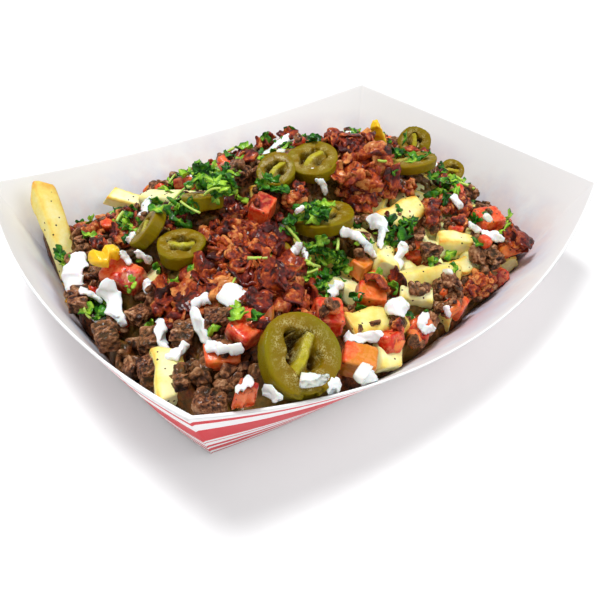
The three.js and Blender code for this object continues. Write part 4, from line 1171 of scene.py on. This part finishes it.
def onionLook():
    look, tree, shader, where = startLook("wetOnion", Roughness=0.2, IOR=1.4, Coat_Weight=0.4, Coat_Roughness=0.1,
                                          Subsurface_Weight=0.3, Subsurface_Scale=0.004)
    made = addMottle(tree, where, 180.0, 2.0, onion["clear"], onion["white"])
    tree.links.new(made.outputs["Color"], shader.inputs["Base Color"])
    addGrain(tree, shader, where, 500.0, 0.2, 0.0003)
    return look


onionSkin = onionLook()


def makeOnions():
    for index, name in enumerate(numbered("onion")):
        middle, directions, reach, faces = roundedNode(name, onion["rows"], onion["cols"], onion["sharpness"], 1.04)
        points = middle + directions * reach[:, None]
        points += directions * (0.25 * softNoise(points, 4.0, onion["seed"] + index))[:, None]
        makePiece(f"onionDice{index + 1}", points, faces, onionSkin, [name])
        raiseGround(points, True)


makeOnions()

cheese = {"stations": 44, "sides": 20, "seed": 151, "yellow": tint(255, 214, 26), "deep": tint(250, 186, 12)}


def cheeseLook():
    look, tree, shader, where = startLook("softCheese", Roughness=0.35, IOR=1.42, Subsurface_Weight=0.3,
                                          Subsurface_Scale=0.004, Coat_Weight=0.2)
    made = addMottle(tree, where, 150.0, 2.4, cheese["deep"], cheese["yellow"])
    tree.links.new(made.outputs["Color"], shader.inputs["Base Color"])
    addGrain(tree, shader, where, 350.0, 0.25, 0.0004)
    return look


def makeCheese():
    # slices across the node's long axis give its middle line and half sizes; an oval follows them
    look = cheeseLook()
    for index, name in enumerate(numbered("cheese")):
        triangles = nodeFaces(name)
        middle, axes, half = nodeAxes(name)
        local = (np.unique(triangles.reshape(-1, 3).round(2), axis=0) - middle) @ axes.T
        order = np.argsort(local[:, 0])
        rings = np.array_split(local[order], 6)
        centres = np.array([ring.mean(0) for ring in rings])
        halves = np.array([np.ptp(ring[:, 1:], axis=0) / 2 for ring in rings])
        along = np.linspace(0, 1, cheese["stations"])
        at = np.linspace(0, 1, len(rings))
        line = np.stack([np.interp(along, at, centres[:, k]) for k in range(3)], 1)
        sizes = np.stack([np.interp(along, at, halves[:, k]) for k in range(2)], 1) + 0.25
        sizes *= ((1 - (2 * along - 1) ** 14) ** 0.5)[:, None] * 0.98 + 0.02
        around = np.linspace(0, 2 * np.pi, cheese["sides"], endpoint=False)
        corner = lambda wave: np.sign(wave) * np.abs(wave) ** 0.6
        points = np.stack([line[:, None, 0] + 0 * around, line[:, None, 1] + sizes[:, :1] * corner(np.cos(around)),
                           line[:, None, 2] + sizes[:, 1:] * corner(np.sin(around))], -1).reshape(-1, 3)
        points = points + 0.3 * softNoise(points, 4.0, cheese["seed"] + index)[:, None]
        points = np.concatenate([points, line[[0, -1]]])
        total = cheese["stations"] * cheese["sides"]
        faces = [gridFaces(cheese["stations"], cheese["sides"], True)[:, ::-1], np.concatenate([
            fanFaces(total, np.arange(cheese["sides"]), True),
            fanFaces(total + 1, total - cheese["sides"] + np.arange(cheese["sides"]))])]
        points = middle + points @ axes
        makePiece(f"cheeseShred{index + 1}", points, faces, look, [name])
        raiseGround(points, True)


makeCheese()
print("onion and cheese made")


# Crumbled bacon

bacon = {
    "rows": 11, "cols": 8, "seed": 161, "thick": (1.3, 2.7),
    "piles": {"bacon_main": (-50, -14, 33, 16, 4, 250), "bacon_back": (32, 3, 32, 13, -14, 150),
              "bacon_front": (-44, -43, 13, 10, 20, 40)},
    "seen": [(128, 232, 14, 16, 14), (254, 350, 8, 14, 5), (486, 286, 18, 12, 8), (258, 262, 30, 14, 16), (240, 225, 46, 22, 60), (350, 140, 16, 10, 10), (300, 195, 16, 18, 10),
             (355, 190, 40, 14, 26), (330, 205, 40, 14, 12), (410, 195, 30, 14, 14), (523, 241, 14, 6, 5), (440, 215, 36, 28, 22), (350, 140, 20, 14, 14),
             (302, 370, 8, 5, 1), (455, 205, 12, 12, 5), (388, 286, 12, 8, 3), (165, 318, 10, 12, 5),
             (205, 215, 30, 16, 14), (260, 330, 22, 20, 10), (418, 150, 12, 4, 4)],
    "spread": [(0, 36, 70, 22, 0, 34), (-76, 44, 24, 22, 0, 12), (0, 56, 74, 10, 0, 26), (76, 4, 20, 48, 0, 14), (0, 0, 92, 66, 0, 30),
               (-64, -56, 22, 14, -12, 12)],
    # larger ones: pixel and size in millimetres
    "strips": [(348, 192, 10), (368, 190, 11), (390, 193, 10), (380, 284, 10), (396, 288, 9), (520, 241, 12),
               (508, 235, 8), (334, 191, 8), (410, 150, 8), (424, 153, 7), (350, 178, 9), (182, 222, 7)],
    "edge": 34, "flakeSize": (6.4, 13.5), "looseSize": (3.6, 7.6), "layers": 3,
    "charAndPitShade": tint(46, 10, 4), "lean": tint(134, 38, 12), "rust": tint(196, 82, 24), "fat": tint(244, 160, 84),
    "maroon": tint(104, 26, 36),
}


def baconLook():
    # streaks from burnt over lean to fat by the value on each flake, darkened by painted shade in pits, broken up in
    # fine blotches, with maroon parts
    look, tree, shader, where = startLook("crispBacon", Roughness=0.36, IOR=1.46, Coat_Weight=0.32,
                                          Coat_Roughness=0.1, Specular_IOR_Level=0.22)
    fine = addMottle(tree, where, 620.0, 2.6, (0, 0, 0, 1), (1, 1, 1, 1))
    wander = addNode(tree, "ShaderNodeMath", {0: fine.outputs["Mask"], 1: 0.6, 2: -0.3}, operation="MULTIPLY_ADD")
    place = addNode(tree, "ShaderNodeMath", {0: pointValue(tree, "streak"), 1: wander.outputs[0]}, operation="ADD")
    colour = addRamp(tree, place.outputs[0], [
        (0.04, bacon["charAndPitShade"]), (0.36, bacon["lean"]), (0.66, bacon["rust"]), (0.98, bacon["fat"])])
    large = addMottle(tree, where, 170.0, 7.0, (0, 0, 0, 1), (1, 1, 1, 1))
    some = addNode(tree, "ShaderNodeMath", {0: large.outputs["Mask"], 1: 0.32}, operation="MULTIPLY")
    tree.links.new(mixColours(tree, some.outputs[0], colour, bacon["maroon"]), shader.inputs["Base Color"])
    addGrain(tree, shader, where, 1500.0, 0.9, 0.0006)
    return look


baconSkin = baconLook()


def flakeShapes(count, size, draw):
    # a flake: two grids over a ragged outline that curl along, ripple and twist, pitted by fine noise on both sides
    # and closed round the edge; the streak value runs across it, and painted shade darkens it in its pits
    rows, cols = bacon["rows"], bacon["cols"]
    u, v = np.meshgrid(np.linspace(-1, 1, rows), np.linspace(-1, 1, cols), indexing="ij")
    u, v = u.ravel()[None], v.ravel()[None]
    around = np.arctan2(v, u)
    drawn = lambda low, high: draw.uniform(low, high, (count, 1))
    ragged = 1 + 0.14 * np.sin(3 * around + drawn(0, 6)) + 0.1 * np.sin(5 * around + drawn(0, 6))
    ragged = ragged + 0.06 * np.sin(9 * around + drawn(0, 6))
    ragged *= 1 - 0.26 * (np.abs(u) * np.abs(v)) ** 2
    x = u * ragged * drawn(0.5, 0.72) * size[:, None]
    y = v * ragged * drawn(0.36, 0.6) * size[:, None]
    z = (drawn(-0.24, 0.24) * u ** 2 + drawn(-0.2, 0.2) * v ** 2 + drawn(-0.14, 0.14) * u * v
         + drawn(0.04, 0.12) * np.sin(drawn(3, 7) * u + drawn(0, 6))
         + drawn(0.02, 0.07) * np.sin(drawn(4, 8) * v + drawn(0, 6))) * size[:, None]
    rim = np.maximum(np.abs(u), np.abs(v))
    half = drawn(*bacon["thick"]) / 2 * (1 - 0.45 * rim ** 3)
    shift = draw.uniform(0, 500, (count, 1, 3))
    sides = []
    for sign in (1, -1):
        side = np.stack([x, y, z + sign * half], -1)
        pits = 0.5 - 1.6 * np.abs(softNoise(side + shift, 3.0, 165, 2))
        side[..., 2] += sign * 0.22 * pits
        side[..., :2] += 0.14 * pits[..., None]
        sides.append((side, pits))
    streak = 0.46 + 0.26 * np.sin(drawn(1.5, 3.4) * v + drawn(0, 6)) + drawn(-0.34, 0.3)
    # painted shade: the value drops in the pits
    tones = [np.clip(streak + 0.34 * pits + 0.08 * rim ** 6, 0, 1) for _, pits in sides]
    return np.concatenate([side for side, _ in sides], 1), slab(rows, cols), np.concatenate(tones, 1)


def makeBaconPile(name, patch, draw):
    # flakes in layers over the pile's own dome
    x, y, reachX, reachY, spin, count = patch
    before = heights.copy()
    raiseGround(spreadOver(nodeFaces(name) - [0, 0, 2.4], 10))
    parts = []
    for _ in range(bacon["layers"]):
        spots = spotsIn([(x, y, reachX * 1.02, reachY * 1.05, spin, count // bacon["layers"])], draw)
        low, high = bacon["flakeSize"]
        size = low + (high - low) * draw.uniform(0, 1, len(spots)) ** 1.3
        places, turns, keep = laidOnGround(spots, size, 0.0, 0.85, draw, clear=0.58)
        places[:, 2] += 1.0
        shapes, faces, streak = flakeShapes(int(keep.sum()), size[keep], draw)
        points, blocks = copiesOf(shapes, faces, turns, places)
        parts.append((points, blocks, {"streak": streak.ravel()}))
        raiseGround(points - [0, 0, 0.8])
    piled[heights > before + 0.5] = True
    points, blocks, values = joined(parts)
    makePiece(name.replace("bacon_", "baconPile_"), points, blocks, baconSkin, [name], values)


def makeBaconPiles():
    draw = np.random.default_rng(bacon["seed"])
    for name, patch in bacon["piles"].items():
        makeBaconPile(name, patch, draw)


makeBaconPiles()
print("bacon piled")


# Loose pieces, laid between the ones above in turn

def makeChunks(name, spec, sizes, rows, cols, draw, sink=0.12):
    spots = spotsFor(spec, draw)
    low, high = sizes
    size = low + (high - low) * draw.uniform(0, 1, len(spots)) ** 1.4
    places, turns, keep = laidOnGround(spots, size, -0.5 * size * (0.72 - sink * 2), 0.5, draw, off=taken | piled)
    size = size[keep]
    shapes, directions, faces = chunkShapes(len(size), size, draw, rows, cols)
    shift = draw.uniform(0, 500, (len(size), 1, 3))
    share = np.clip(size / 9, 0.25, 1)[:, None]
    # the tone carries painted highlight and painted shade, then each chunk is lighter or darker at random
    rough, tone = roughened(shapes + shift, directions, share, steak["seed"])
    tone = np.clip(tone + draw.uniform(-0.18, 0.22, (len(size), 1)), 0, 1)
    points, blocks = copiesOf(rough - shift, faces, turns, places)
    makePiece(name, points, blocks, steakSkin, values={"tone": tone.ravel()})
    raiseGround(points)
    return len(size)


def makeTomatoBits(draw):
    spots = spotsFor(tomato, draw)
    size = draw.uniform(*tomato["bitSize"], len(spots))
    places, turns, keep = laidOnGround(spots, size, -0.25 * size, 0.6, draw, off=taken | piled)
    size = size[keep]
    shapes, directions, faces = chunkShapes(len(size), size, draw, 11, 16, 14, (1.1, 0.9, 0.75), 0.14)
    skinSide = draw.normal(size=(len(size), 3, 1))
    skinSide /= np.linalg.norm(skinSide, axis=1)[:, None]
    noise = softNoise(shapes * 3, 6.0, tomato["seed"])
    ripeness = np.concatenate([ripened(directions, base, side[:, 0], wave)
                               for base, side, wave in zip(draw.uniform(0, 0.75, len(size)), skinSide, noise)])
    points, blocks = copiesOf(shapes, faces, turns, places)
    makePiece("tomatoBits", points, blocks, tomatoFlesh, values={"ripeness": ripeness})
    raiseGround(points)
    return len(size)


def makeOnionBits(draw):
    spots = spotsFor(onion, draw)
    size = draw.uniform(*onion["bitSize"], len(spots))
    places, turns, keep = laidOnGround(spots, size, -0.2 * size, 0.5, draw, off=taken | piled)
    shapes, _, faces = chunkShapes(int(keep.sum()), size[keep], draw, 9, 13, 14, (1.2, 0.9, 0.5), 0.1)
    points, blocks = copiesOf(shapes, faces, turns, places)
    makePiece("onionBits", points, blocks, onionSkin)
    raiseGround(points)


def makeLooseBacon(draw):
    # small ones between the other pieces, and larger ones on them where the photograph shows some
    small, strips = spotsFor(bacon, draw), np.array(bacon["strips"], float)
    parts = []
    for spots, size, sink, lean, off in (
            (small, draw.uniform(*bacon["looseSize"], len(small)), -0.8, 0.8, taken),
            (seenAt(strips[:, :2]), strips[:, 2], -1.5, 0.2, np.zeros_like(taken))):
        places, turns, keep = laidOnGround(spots, size, sink, lean, draw, off=off)
        shapes, faces, streak = flakeShapes(int(keep.sum()), size[keep], draw)
        points, blocks = copiesOf(shapes, faces, turns, places)
        parts.append((points, blocks, {"streak": streak.ravel()}))
        raiseGround(points)
    points, blocks, values = joined(parts)
    makePiece("baconFlakes", points, blocks, baconSkin, values=values)


looseDraw = np.random.default_rng(34)
print("steak chunks:", makeChunks("steakChunks", steak, steak["chunkSize"], steak["chunkRows"], steak["chunkCols"],
                                  looseDraw))
print("tomato bits:", makeTomatoBits(looseDraw))
print("steak crumbs:", makeChunks("steakCrumbs", steakCrumb, steakCrumb["size"], steakCrumb["rows"],
                                  steakCrumb["cols"], looseDraw, 0.0))
makeOnionBits(looseDraw)
makeLooseBacon(looseDraw)
print("loose pieces scattered")


# Cilantro

herb = {
    "rings": 3, "around": 30, "thick": 0.35, "seed": 181,
    "seen": [(215, 180, 22, 14, 26), (312, 214, 14, 10, 16), (325, 268, 22, 28, 44), (275, 185, 16, 8, 14),
             (172, 206, 26, 12, 20), (100, 312, 14, 9, 12), (400, 158, 18, 6, 10), (445, 178, 14, 12, 16),
             (505, 218, 8, 8, 6), (400, 225, 20, 14, 12), (150, 268, 20, 20, 5), (245, 318, 16, 8, 8),
             (228, 292, 8, 8, 3), (380, 300, 34, 18, 10), (125, 225, 12, 8, 5), (440, 265, 24, 18, 12), (480, 230, 26, 16, 10),
             (215, 350, 26, 24, 5), (362, 232, 14, 12, 5), (462, 184, 8, 6, 4), (292, 232, 14, 6, 4)],
    "spread": [(10, 40, 70, 24, 0, 60), (-76, 44, 24, 22, 0, 14), (0, 58, 70, 9, 0, 24), (70, 10, 26, 50, 0, 40), (0, 0, 92, 66, 0, 50)],
    "leafSize": (2.2, 4.8), "stemShare": 9, "stemLength": (4, 11), "stemThick": 1.2,
    "dark": tint(14, 66, 8), "green": tint(56, 130, 16), "lit": tint(168, 212, 58), "stem": tint(200, 216, 120),
}


def herbLooks():
    leaf, tree, shader, where = startLook("cilantroLeaf", Roughness=0.35, IOR=1.45, Coat_Weight=0.25,
                                          Coat_Roughness=0.12, Specular_IOR_Level=0.25)
    made = addMottle(tree, where, 420.0, 3.0, (0, 0, 0, 1), (1, 1, 1, 1))
    wander = addNode(tree, "ShaderNodeMath", {0: made.outputs["Mask"], 1: 0.4, 2: -0.2}, operation="MULTIPLY_ADD")
    place = addNode(tree, "ShaderNodeMath", {0: pointValue(tree, "tone"), 1: wander.outputs[0]}, operation="ADD")
    colour = addRamp(tree, place.outputs[0], [(0.1, herb["dark"]), (0.5, herb["green"]), (0.95, herb["lit"])])
    tree.links.new(colour, shader.inputs["Base Color"])
    addGrain(tree, shader, where, 800.0, 0.7, 0.0004)
    stem, tree, shader, where = startLook("cilantroStem", Roughness=0.3, IOR=1.45, Subsurface_Weight=0.2,
                                          Subsurface_Scale=0.002)
    made = addMottle(tree, where, 240.0, 2.0, herb["lit"], herb["stem"])
    tree.links.new(made.outputs["Color"], shader.inputs["Base Color"])
    addGrain(tree, shader, where, 500.0, 0.2, 0.0003)
    return leaf, stem


leafSkin, stemSkin = herbLooks()


def leafShapes(count, reach, draw):
    # a chopped leaf in polar form: a few uneven lobes with sharp teeth, one side cut away, then cupped, folded
    # along its middle and waved
    rings, sides = herb["rings"], herb["around"]
    share = np.linspace(0.34, 1, rings)[None, :, None]
    around = np.linspace(0, 2 * np.pi, sides, endpoint=False)[None, None, :]
    drawn = lambda low, high: draw.uniform(low, high, (count, 1, 1))
    lobes = 0.42 + 0.58 * np.abs(np.cos(drawn(1.3, 2.2) * around / 2 * 2 + drawn(0, 6))) ** 0.7
    lobes *= 1 - 0.45 * np.clip(np.cos(around - drawn(0, 6.28)) - 0.3, 0, 1)
    teeth = 1 + 0.16 * np.abs(np.sin(4.5 * around + drawn(0, 6)))
    radius = share * lobes * np.where(share > 0.9, teeth, 0.95) * reach[:, None, None]
    x, y = radius * np.cos(around) * drawn(0.75, 1.25), radius * np.sin(around) * drawn(0.5, 1.0)
    z = (drawn(-0.4, 0.4) * share ** 2 + 0.2 * share * np.sin(3 * around + drawn(0, 6))
         + 0.1 * share * np.sin(7 * around + drawn(0, 6))) * reach[:, None, None]
    z = z + drawn(-0.8, 0.8) * np.abs(y)
    layer = np.stack([x, y, z], -1).reshape(count, -1, 3)
    centre = np.zeros((count, 1, 3))
    half = np.array([0, 0, herb["thick"] / 2])
    shapes = np.concatenate([layer + half, centre + half, layer - half, centre - half], 1)
    total = rings * sides
    upper = gridFaces(rings, sides, True)
    rim = total - sides + np.arange(sides)
    beside = np.roll(rim, -1)
    low = total + 1
    faces = [upper, upper[:, ::-1] + low, np.stack([rim, rim + low, beside + low, beside], 1), np.concatenate([
        fanFaces(total, np.arange(sides)), fanFaces(total + low, np.arange(sides) + low, True)])]
    tone = np.clip(drawn(0.05, 0.8) + 0.3 * (1 - share) + 0.18 * np.sin(3 * around + drawn(0, 6)), 0, 1)
    tone = tone.reshape(count, -1)
    return shapes, faces, np.concatenate([tone, tone[:, :1], tone, tone[:, :1]], 1)


def stemShapes(count, draw):
    # a thin round stalk along x that bows a little, closed by a point at each end
    stations, sides = 7, 8
    along = np.linspace(-1, 1, stations)[None, :, None]
    around = np.linspace(0, 2 * np.pi, sides, endpoint=False)[None, None, :]
    length = draw.uniform(*herb["stemLength"], (count, 1, 1)) / 2
    radius = herb["stemThick"] / 2 * draw.uniform(0.7, 1.3, (count, 1, 1))
    bow = draw.uniform(-0.25, 0.25, (count, 1, 1)) * length * (1 - along ** 2)
    x = along * length + 0 * around
    y, z = radius * np.cos(around) + bow, radius * np.sin(around) + 0 * along
    body = np.stack([x, y, z + 0 * x], -1).reshape(count, -1, 3)
    reach = length[:, 0, 0] + 0.2
    tips = np.stack([np.stack([sign * reach, 0 * reach, 0 * reach], -1) for sign in (-1, 1)], 1)
    total = stations * sides
    faces = [gridFaces(stations, sides, True)[:, ::-1], np.concatenate([
        fanFaces(total, np.arange(sides), True), fanFaces(total + 1, total - sides + np.arange(sides))])]
    return np.concatenate([body, tips], 1), faces


def makeSprigs():
    # each sprig: leaflets spread over its solid, turned with it and leaned each its own way
    for index, name in enumerate(numbered("sprig")):
        draw = np.random.default_rng(herb["seed"] + index)
        middle, axes, half = nodeAxes(name)
        count = 16
        spots = draw.uniform(-0.85, 0.85, (count, 3)) * half
        reach = draw.uniform(0.24, 0.4, count) * half[0]
        turns = axes.T[None] @ turnsOf(draw.uniform(0, 6, count), draw.uniform(-0.9, 0.9, count), draw.uniform(0, 6, count))
        shapes, faces, tone = leafShapes(count, np.maximum(reach, 2.8), draw)
        points, blocks = copiesOf(shapes, faces, turns, middle + spots @ axes)
        makePiece(f"cilantroSprig{index + 1}", points, blocks, leafSkin, [name], {"tone": tone.ravel()})
        raiseGround(points)


def makeLooseHerb():
    draw = np.random.default_rng(herb["seed"] + 20)
    spots = spotsFor(herb, draw)
    size = draw.uniform(*herb["leafSize"], len(spots))
    places, turns, keep = laidOnGround(spots, size, -0.5, 0.9, draw, 1, off=np.zeros_like(taken))
    onPiece = sampled(taken.astype(float), places[:, 0], places[:, 1]) > 0.5
    stays = ~onPiece | (draw.uniform(0, 1, len(places)) < 0.35)
    places, turns, size = places[stays], turns[stays], size[keep][stays]
    shapes, faces, tone = leafShapes(len(size), size, draw)
    points, blocks = copiesOf(shapes, faces, turns, places)
    makePiece("cilantroLeaves", points, blocks, leafSkin, values={"tone": tone.ravel()})
    raiseGround(points)
    fewer = {key: [(*patch[:-1], max(1, patch[-1] // herb["stemShare"])) for patch in herb[key]]
             for key in ("seen", "spread")}
    spots = spotsFor(fewer, draw)
    places, turns, keep = laidOnGround(spots, np.full(len(spots), 4.0), -0.6, 0.3, draw, 1)
    shapes, faces = stemShapes(int(keep.sum()), draw)
    points, blocks = copiesOf(shapes, faces, turns, places)
    makePiece("cilantroStems", points, blocks, stemSkin)
    raiseGround(points)
    return len(size)


makeSprigs()
print("cilantro leaves:", makeLooseHerb())


# Cream, drizzled last over everything

cream = {
    # smears in the photograph: width in pixels and the pixels that the middle line passes
    "seen": [
        (15, (79, 263), (72, 275), (77, 285)), (5, (82, 291), (91, 295), (100, 301)),
        (17, (108, 291), (112, 303), (116, 314)), (7, (119, 316), (122, 323)), (6, (138, 254), (149, 261)),
        (6, (123, 255), (129, 263)), (5, (129, 241), (133, 236)), (7, (147, 291), (148, 283)),
        (17, (229, 297), (240, 297)), (9, (197, 304), (206, 300)), (8, (160, 324), (162, 342), (169, 357)),
        (8, (169, 358), (177, 355), (184, 348)), (9, (194, 314), (203, 334), (211, 347)),
        (9, (211, 348), (226, 350), (239, 350)), (7, (239, 391), (250, 381)),
        (11, (268, 392), (276, 398)), (6, (294, 252), (299, 247)), (5, (304, 252), (306, 259)),
        (7, (343, 232), (358, 237), (365, 245)), (6, (365, 245), (373, 255)), (12, (374, 222), (382, 226)),
        (5, (382, 230), (380, 246)), (9, (403, 248), (398, 260), (395, 269)), (9, (332, 295), (338, 286)),
        (4, (297, 212), (302, 209)), (5, (318, 182), (323, 184), (325, 193)), (4, (312, 171), (315, 174)),
        (12, (392, 309), (400, 309)), (8, (425, 317), (421, 325)), (6, (424, 331), (432, 329)),
        (9, (349, 338), (363, 339), (377, 336)), (6, (330, 359), (336, 368)), (11, (333, 382), (334, 393)),
        (11, (370, 378), (370, 386)), (5, (446, 309), (448, 315)), (7, (486, 234), (500, 239)),
        (6, (454, 199), (460, 207)), (5, (470, 226), (478, 231)),
    ],
    # the same on the side that the photograph hides, in millimetres
    "spread": [(3.4, (-20, 52), (-30, 46)), (3.6, (10, 44), (22, 52), (34, 50)), (4.2, (52, 36), (60, 26)),
               (3.4, (76, 20), (84, 8), (82, -4)), (3.8, (-60, 40), (-52, 50)), (3.2, (40, 22), (48, 30))],
    "stations": 36, "across": 15, "thick": 0.75, "under": 1.1, "reachMost": 4.0, "widen": 1.22, "seed": 201,
    "white": tint(255, 255, 255), "shade": tint(248, 247, 244),
}


def creamLook():
    look, tree, shader, where = startLook("sourCream", Roughness=0.3, IOR=1.4, Subsurface_Weight=0.3,
                                          Subsurface_Scale=0.003, Coat_Weight=0.25, Coat_Roughness=0.1)
    made = addMottle(tree, where, 160.0, 1.5, cream["shade"], cream["white"])
    tree.links.new(made.outputs["Color"], shader.inputs["Base Color"])
    addGrain(tree, shader, where, 260.0, 0.1, 0.0003)
    return look


def smearOutline(width, line, seed):
    # a strip along a line on a flat sheet, its width beaded by slow waves and its ends round; the second result
    # is how full it is at each spot, from 0 at its edge to 1 in the middle
    line = np.array(line, float)
    steps = np.concatenate([[0], np.cumsum(np.linalg.norm(np.diff(line, axis=0), axis=1))])
    along = np.sin(np.linspace(-np.pi / 2, np.pi / 2, cream["stations"]))
    reach = along * (steps[-1] / 2 + width / 2) + steps[-1] / 2
    inside = np.clip(reach, 0, steps[-1])
    centre = np.stack([np.interp(inside, steps, line[:, k]) for k in range(2)], 1)
    past = reach - inside
    near = np.stack([np.interp(np.clip(inside + step, 0, steps[-1]), steps, line[:, k])
                     for step in (-0.4 * width, 0.4 * width) for k in (0, 1)])
    heading = (near[2:] - near[:2]).T
    heading /= np.linalg.norm(heading, axis=1)[:, None] + 1e-9
    centre = centre + heading * past[:, None]
    aside = np.stack([-heading[:, 1], heading[:, 0]], 1)
    across = np.sin(np.linspace(-np.pi / 2, np.pi / 2, cream["across"]))
    beaded = 1 + 0.3 * softNoise(centre, 2.2 * width, seed, 2)
    endRound = np.sqrt(np.clip(1 - (past / (width / 2)) ** 2, 0.0, 1))
    half = width / 2 * beaded * np.maximum(endRound, 0.08)
    spots = centre[:, None] + aside[:, None] * (across[None, :, None] * half[:, None, None])
    wave = [softNoise(spots, 1.1 * width, seed + k, 2) for k in (1, 2)]
    fine = [softNoise(spots, 0.45 * width, seed + k, 2) for k in (3, 4)]
    spots = spots + width * (0.15 * np.stack(wave, -1) + 0.04 * np.stack(fine, -1))
    return spots, np.sqrt(1 - across[None] ** 2) * np.maximum(endRound, 0.15)[:, None]


def evened(sheet, passes, pick=None):
    # each value of a sheet blended with its neighbours, or the pick of them
    for _ in range(passes):
        for axis in (0, 1):
            wide = np.pad(sheet, 1, mode="edge")
            low, high = (np.take(wide, np.arange(sheet.shape[axis]) + shift, axis=axis) for shift in (0, 2))
            low, high = (side[:, 1:-1] if axis == 0 else side[1:-1] for side in (low, high))
            sheet = pick(sheet, pick(low, high)) if pick else (low + 2 * sheet + high) / 4
    return sheet


def smearSeen(width, line, field, seed):
    # laid where the lines of sight through its pixels meet the food, and evened out along them
    spots, full = smearOutline(width, line, seed)
    place, sight = sightLines(spots)
    met = sightReach(spots, field)
    middle = np.median(met)
    far = np.clip(met, middle - cream["reachMost"], middle + cream["reachMost"])
    far = np.maximum(np.minimum(evened(evened(far, 2, np.minimum), 5), met), middle - cream["reachMost"])
    far = evened(far, 2)
    points = place + sight * far[..., None]
    bulge = np.array([0, 0, 1.0]) - sight / np.linalg.norm(sight, axis=-1, keepdims=True)
    upper = points + bulge * (0.5 + 0.7 * cream["thick"] * full)[..., None]
    lower = points + sight * cream["under"] + bulge * 0.2
    return np.concatenate([upper.reshape(-1, 3), lower.reshape(-1, 3)]), slab(cream["stations"], cream["across"]), {}


def smearSpread(width, line, field, seed):
    # laid on the food from above
    spots, full = smearOutline(width, line, seed)
    under = evened(sampled(field, spots[..., 0], spots[..., 1]), 8) + 0.4
    upper = np.concatenate([spots, (under + 0.1 + cream["thick"] * full)[..., None]], -1).reshape(-1, 3)
    lower = np.concatenate([spots, (under - cream["under"])[..., None]], -1).reshape(-1, 3)
    return np.concatenate([upper, lower]), slab(cream["stations"], cream["across"]), {}


def makeCream():
    field = blurred(heights, 1)
    parts = [smearSeen(cream["widen"] * width, line, field, cream["seed"] + 3 * index)
             for index, (width, *line) in enumerate(cream["seen"])]
    parts += [smearSpread(width, line, blurred(heights, 8), cream["seed"] + 3 * index)
              for index, (width, *line) in enumerate(cream["spread"])]
    points, blocks, _ = joined(parts)
    makePiece("creamDrizzle", points, blocks, creamLook())


makeCream()
print("cream drizzled")


# Floor, light and camera

studio = {
    "floorSize": 1.6, "floor": tint(252, 252, 252), "floorShade": tint(249, 250, 252), "sky": 0.5,
    "floorGlow": 0.5, "glowFrom": 0.2, "glowTo": 0.6,  # the floor turns white away from the tray, in metres
    "key": ((-0.14, 0.14, 0.85), 0.26, 5.6), "fill": ((0.45, -0.5, 0.5), 0.6, 2.0),  # place, size and power in watts
}


def makeStage():
    half = studio["floorSize"] / 2
    mesh = bpy.data.meshes.new("floor")
    mesh.from_pydata([(-half, -half, 0), (half, -half, 0), (half, half, 0), (-half, half, 0)], [], [(0, 1, 2, 3)])
    look, tree, shader, where = startLook("paleFloor", Roughness=0.9)
    made = addMottle(tree, where, 3.0, 0.5, studio["floorShade"], studio["floor"])
    tree.links.new(made.outputs["Color"], shader.inputs["Base Color"])
    away = addNode(tree, "ShaderNodeVectorMath", {0: where}, operation="LENGTH").outputs["Value"]
    glow = addNode(tree, "ShaderNodeMapRange", {"Value": away, "From Min": studio["glowFrom"], "From Max": studio["glowTo"],
                                               "To Min": 0.0, "To Max": studio["floorGlow"]}).outputs[0]
    tree.links.new(glow, shader.inputs["Emission Color"])
    shader.inputs["Emission Strength"].default_value = 1.0
    mesh.materials.append(look)
    floor = bpy.data.objects.new("floor", mesh)
    bpy.context.scene.collection.objects.link(floor)
    floor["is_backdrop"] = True
    world = bpy.data.worlds.new("sky")
    world.use_nodes = True
    # the sky lights softly, but the camera sees it white
    tree = world.node_tree
    light = addNode(tree, "ShaderNodeMapRange", {"Value": addNode(tree, "ShaderNodeLightPath").outputs[0],
                                                "To Min": studio["sky"], "To Max": 1.0}).outputs[0]
    tree.nodes["Background"].inputs["Color"].default_value = (1, 1, 1, 1)
    tree.links.new(light, tree.nodes["Background"].inputs["Strength"])
    bpy.context.scene.world = world
    for name in ("key", "fill"):
        place, size, power = studio[name]
        light = bpy.data.lights.new(name, "AREA")
        light.size, light.energy = size, power
        lamp = bpy.data.objects.new(name, light)
        lamp.location = place
        lamp.rotation_euler = (-Vector(place)).to_track_quat("-Z", "Y").to_euler()
        bpy.context.scene.collection.objects.link(lamp)
    bpy.context.scene.view_settings.view_transform = "Standard"


def makeCamera():
    place, right, above, back = cameraAxes()
    data = bpy.data.cameras.new("photoCamera")
    data.sensor_width = photoCamera["sensor"]
    data.lens = photoCamera["focalPixels"] / photoCamera["pictureSide"] * photoCamera["sensor"]
    data.clip_start, data.clip_end = 0.01, 10
    camera = bpy.data.objects.new("photoCamera", data)
    turn = np.eye(4)
    turn[:3, :3] = np.column_stack([right, above, back])
    turn[:3, 3] = place * mm
    camera.matrix_world = Matrix(turn.tolist())
    bpy.context.scene.collection.objects.link(camera)
    bpy.context.scene.camera = camera


makeStage()
makeCamera()
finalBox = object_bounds()
{"cad": [list(corner) for corner in cadBox], "visual": [list(corner) for corner in finalBox]}
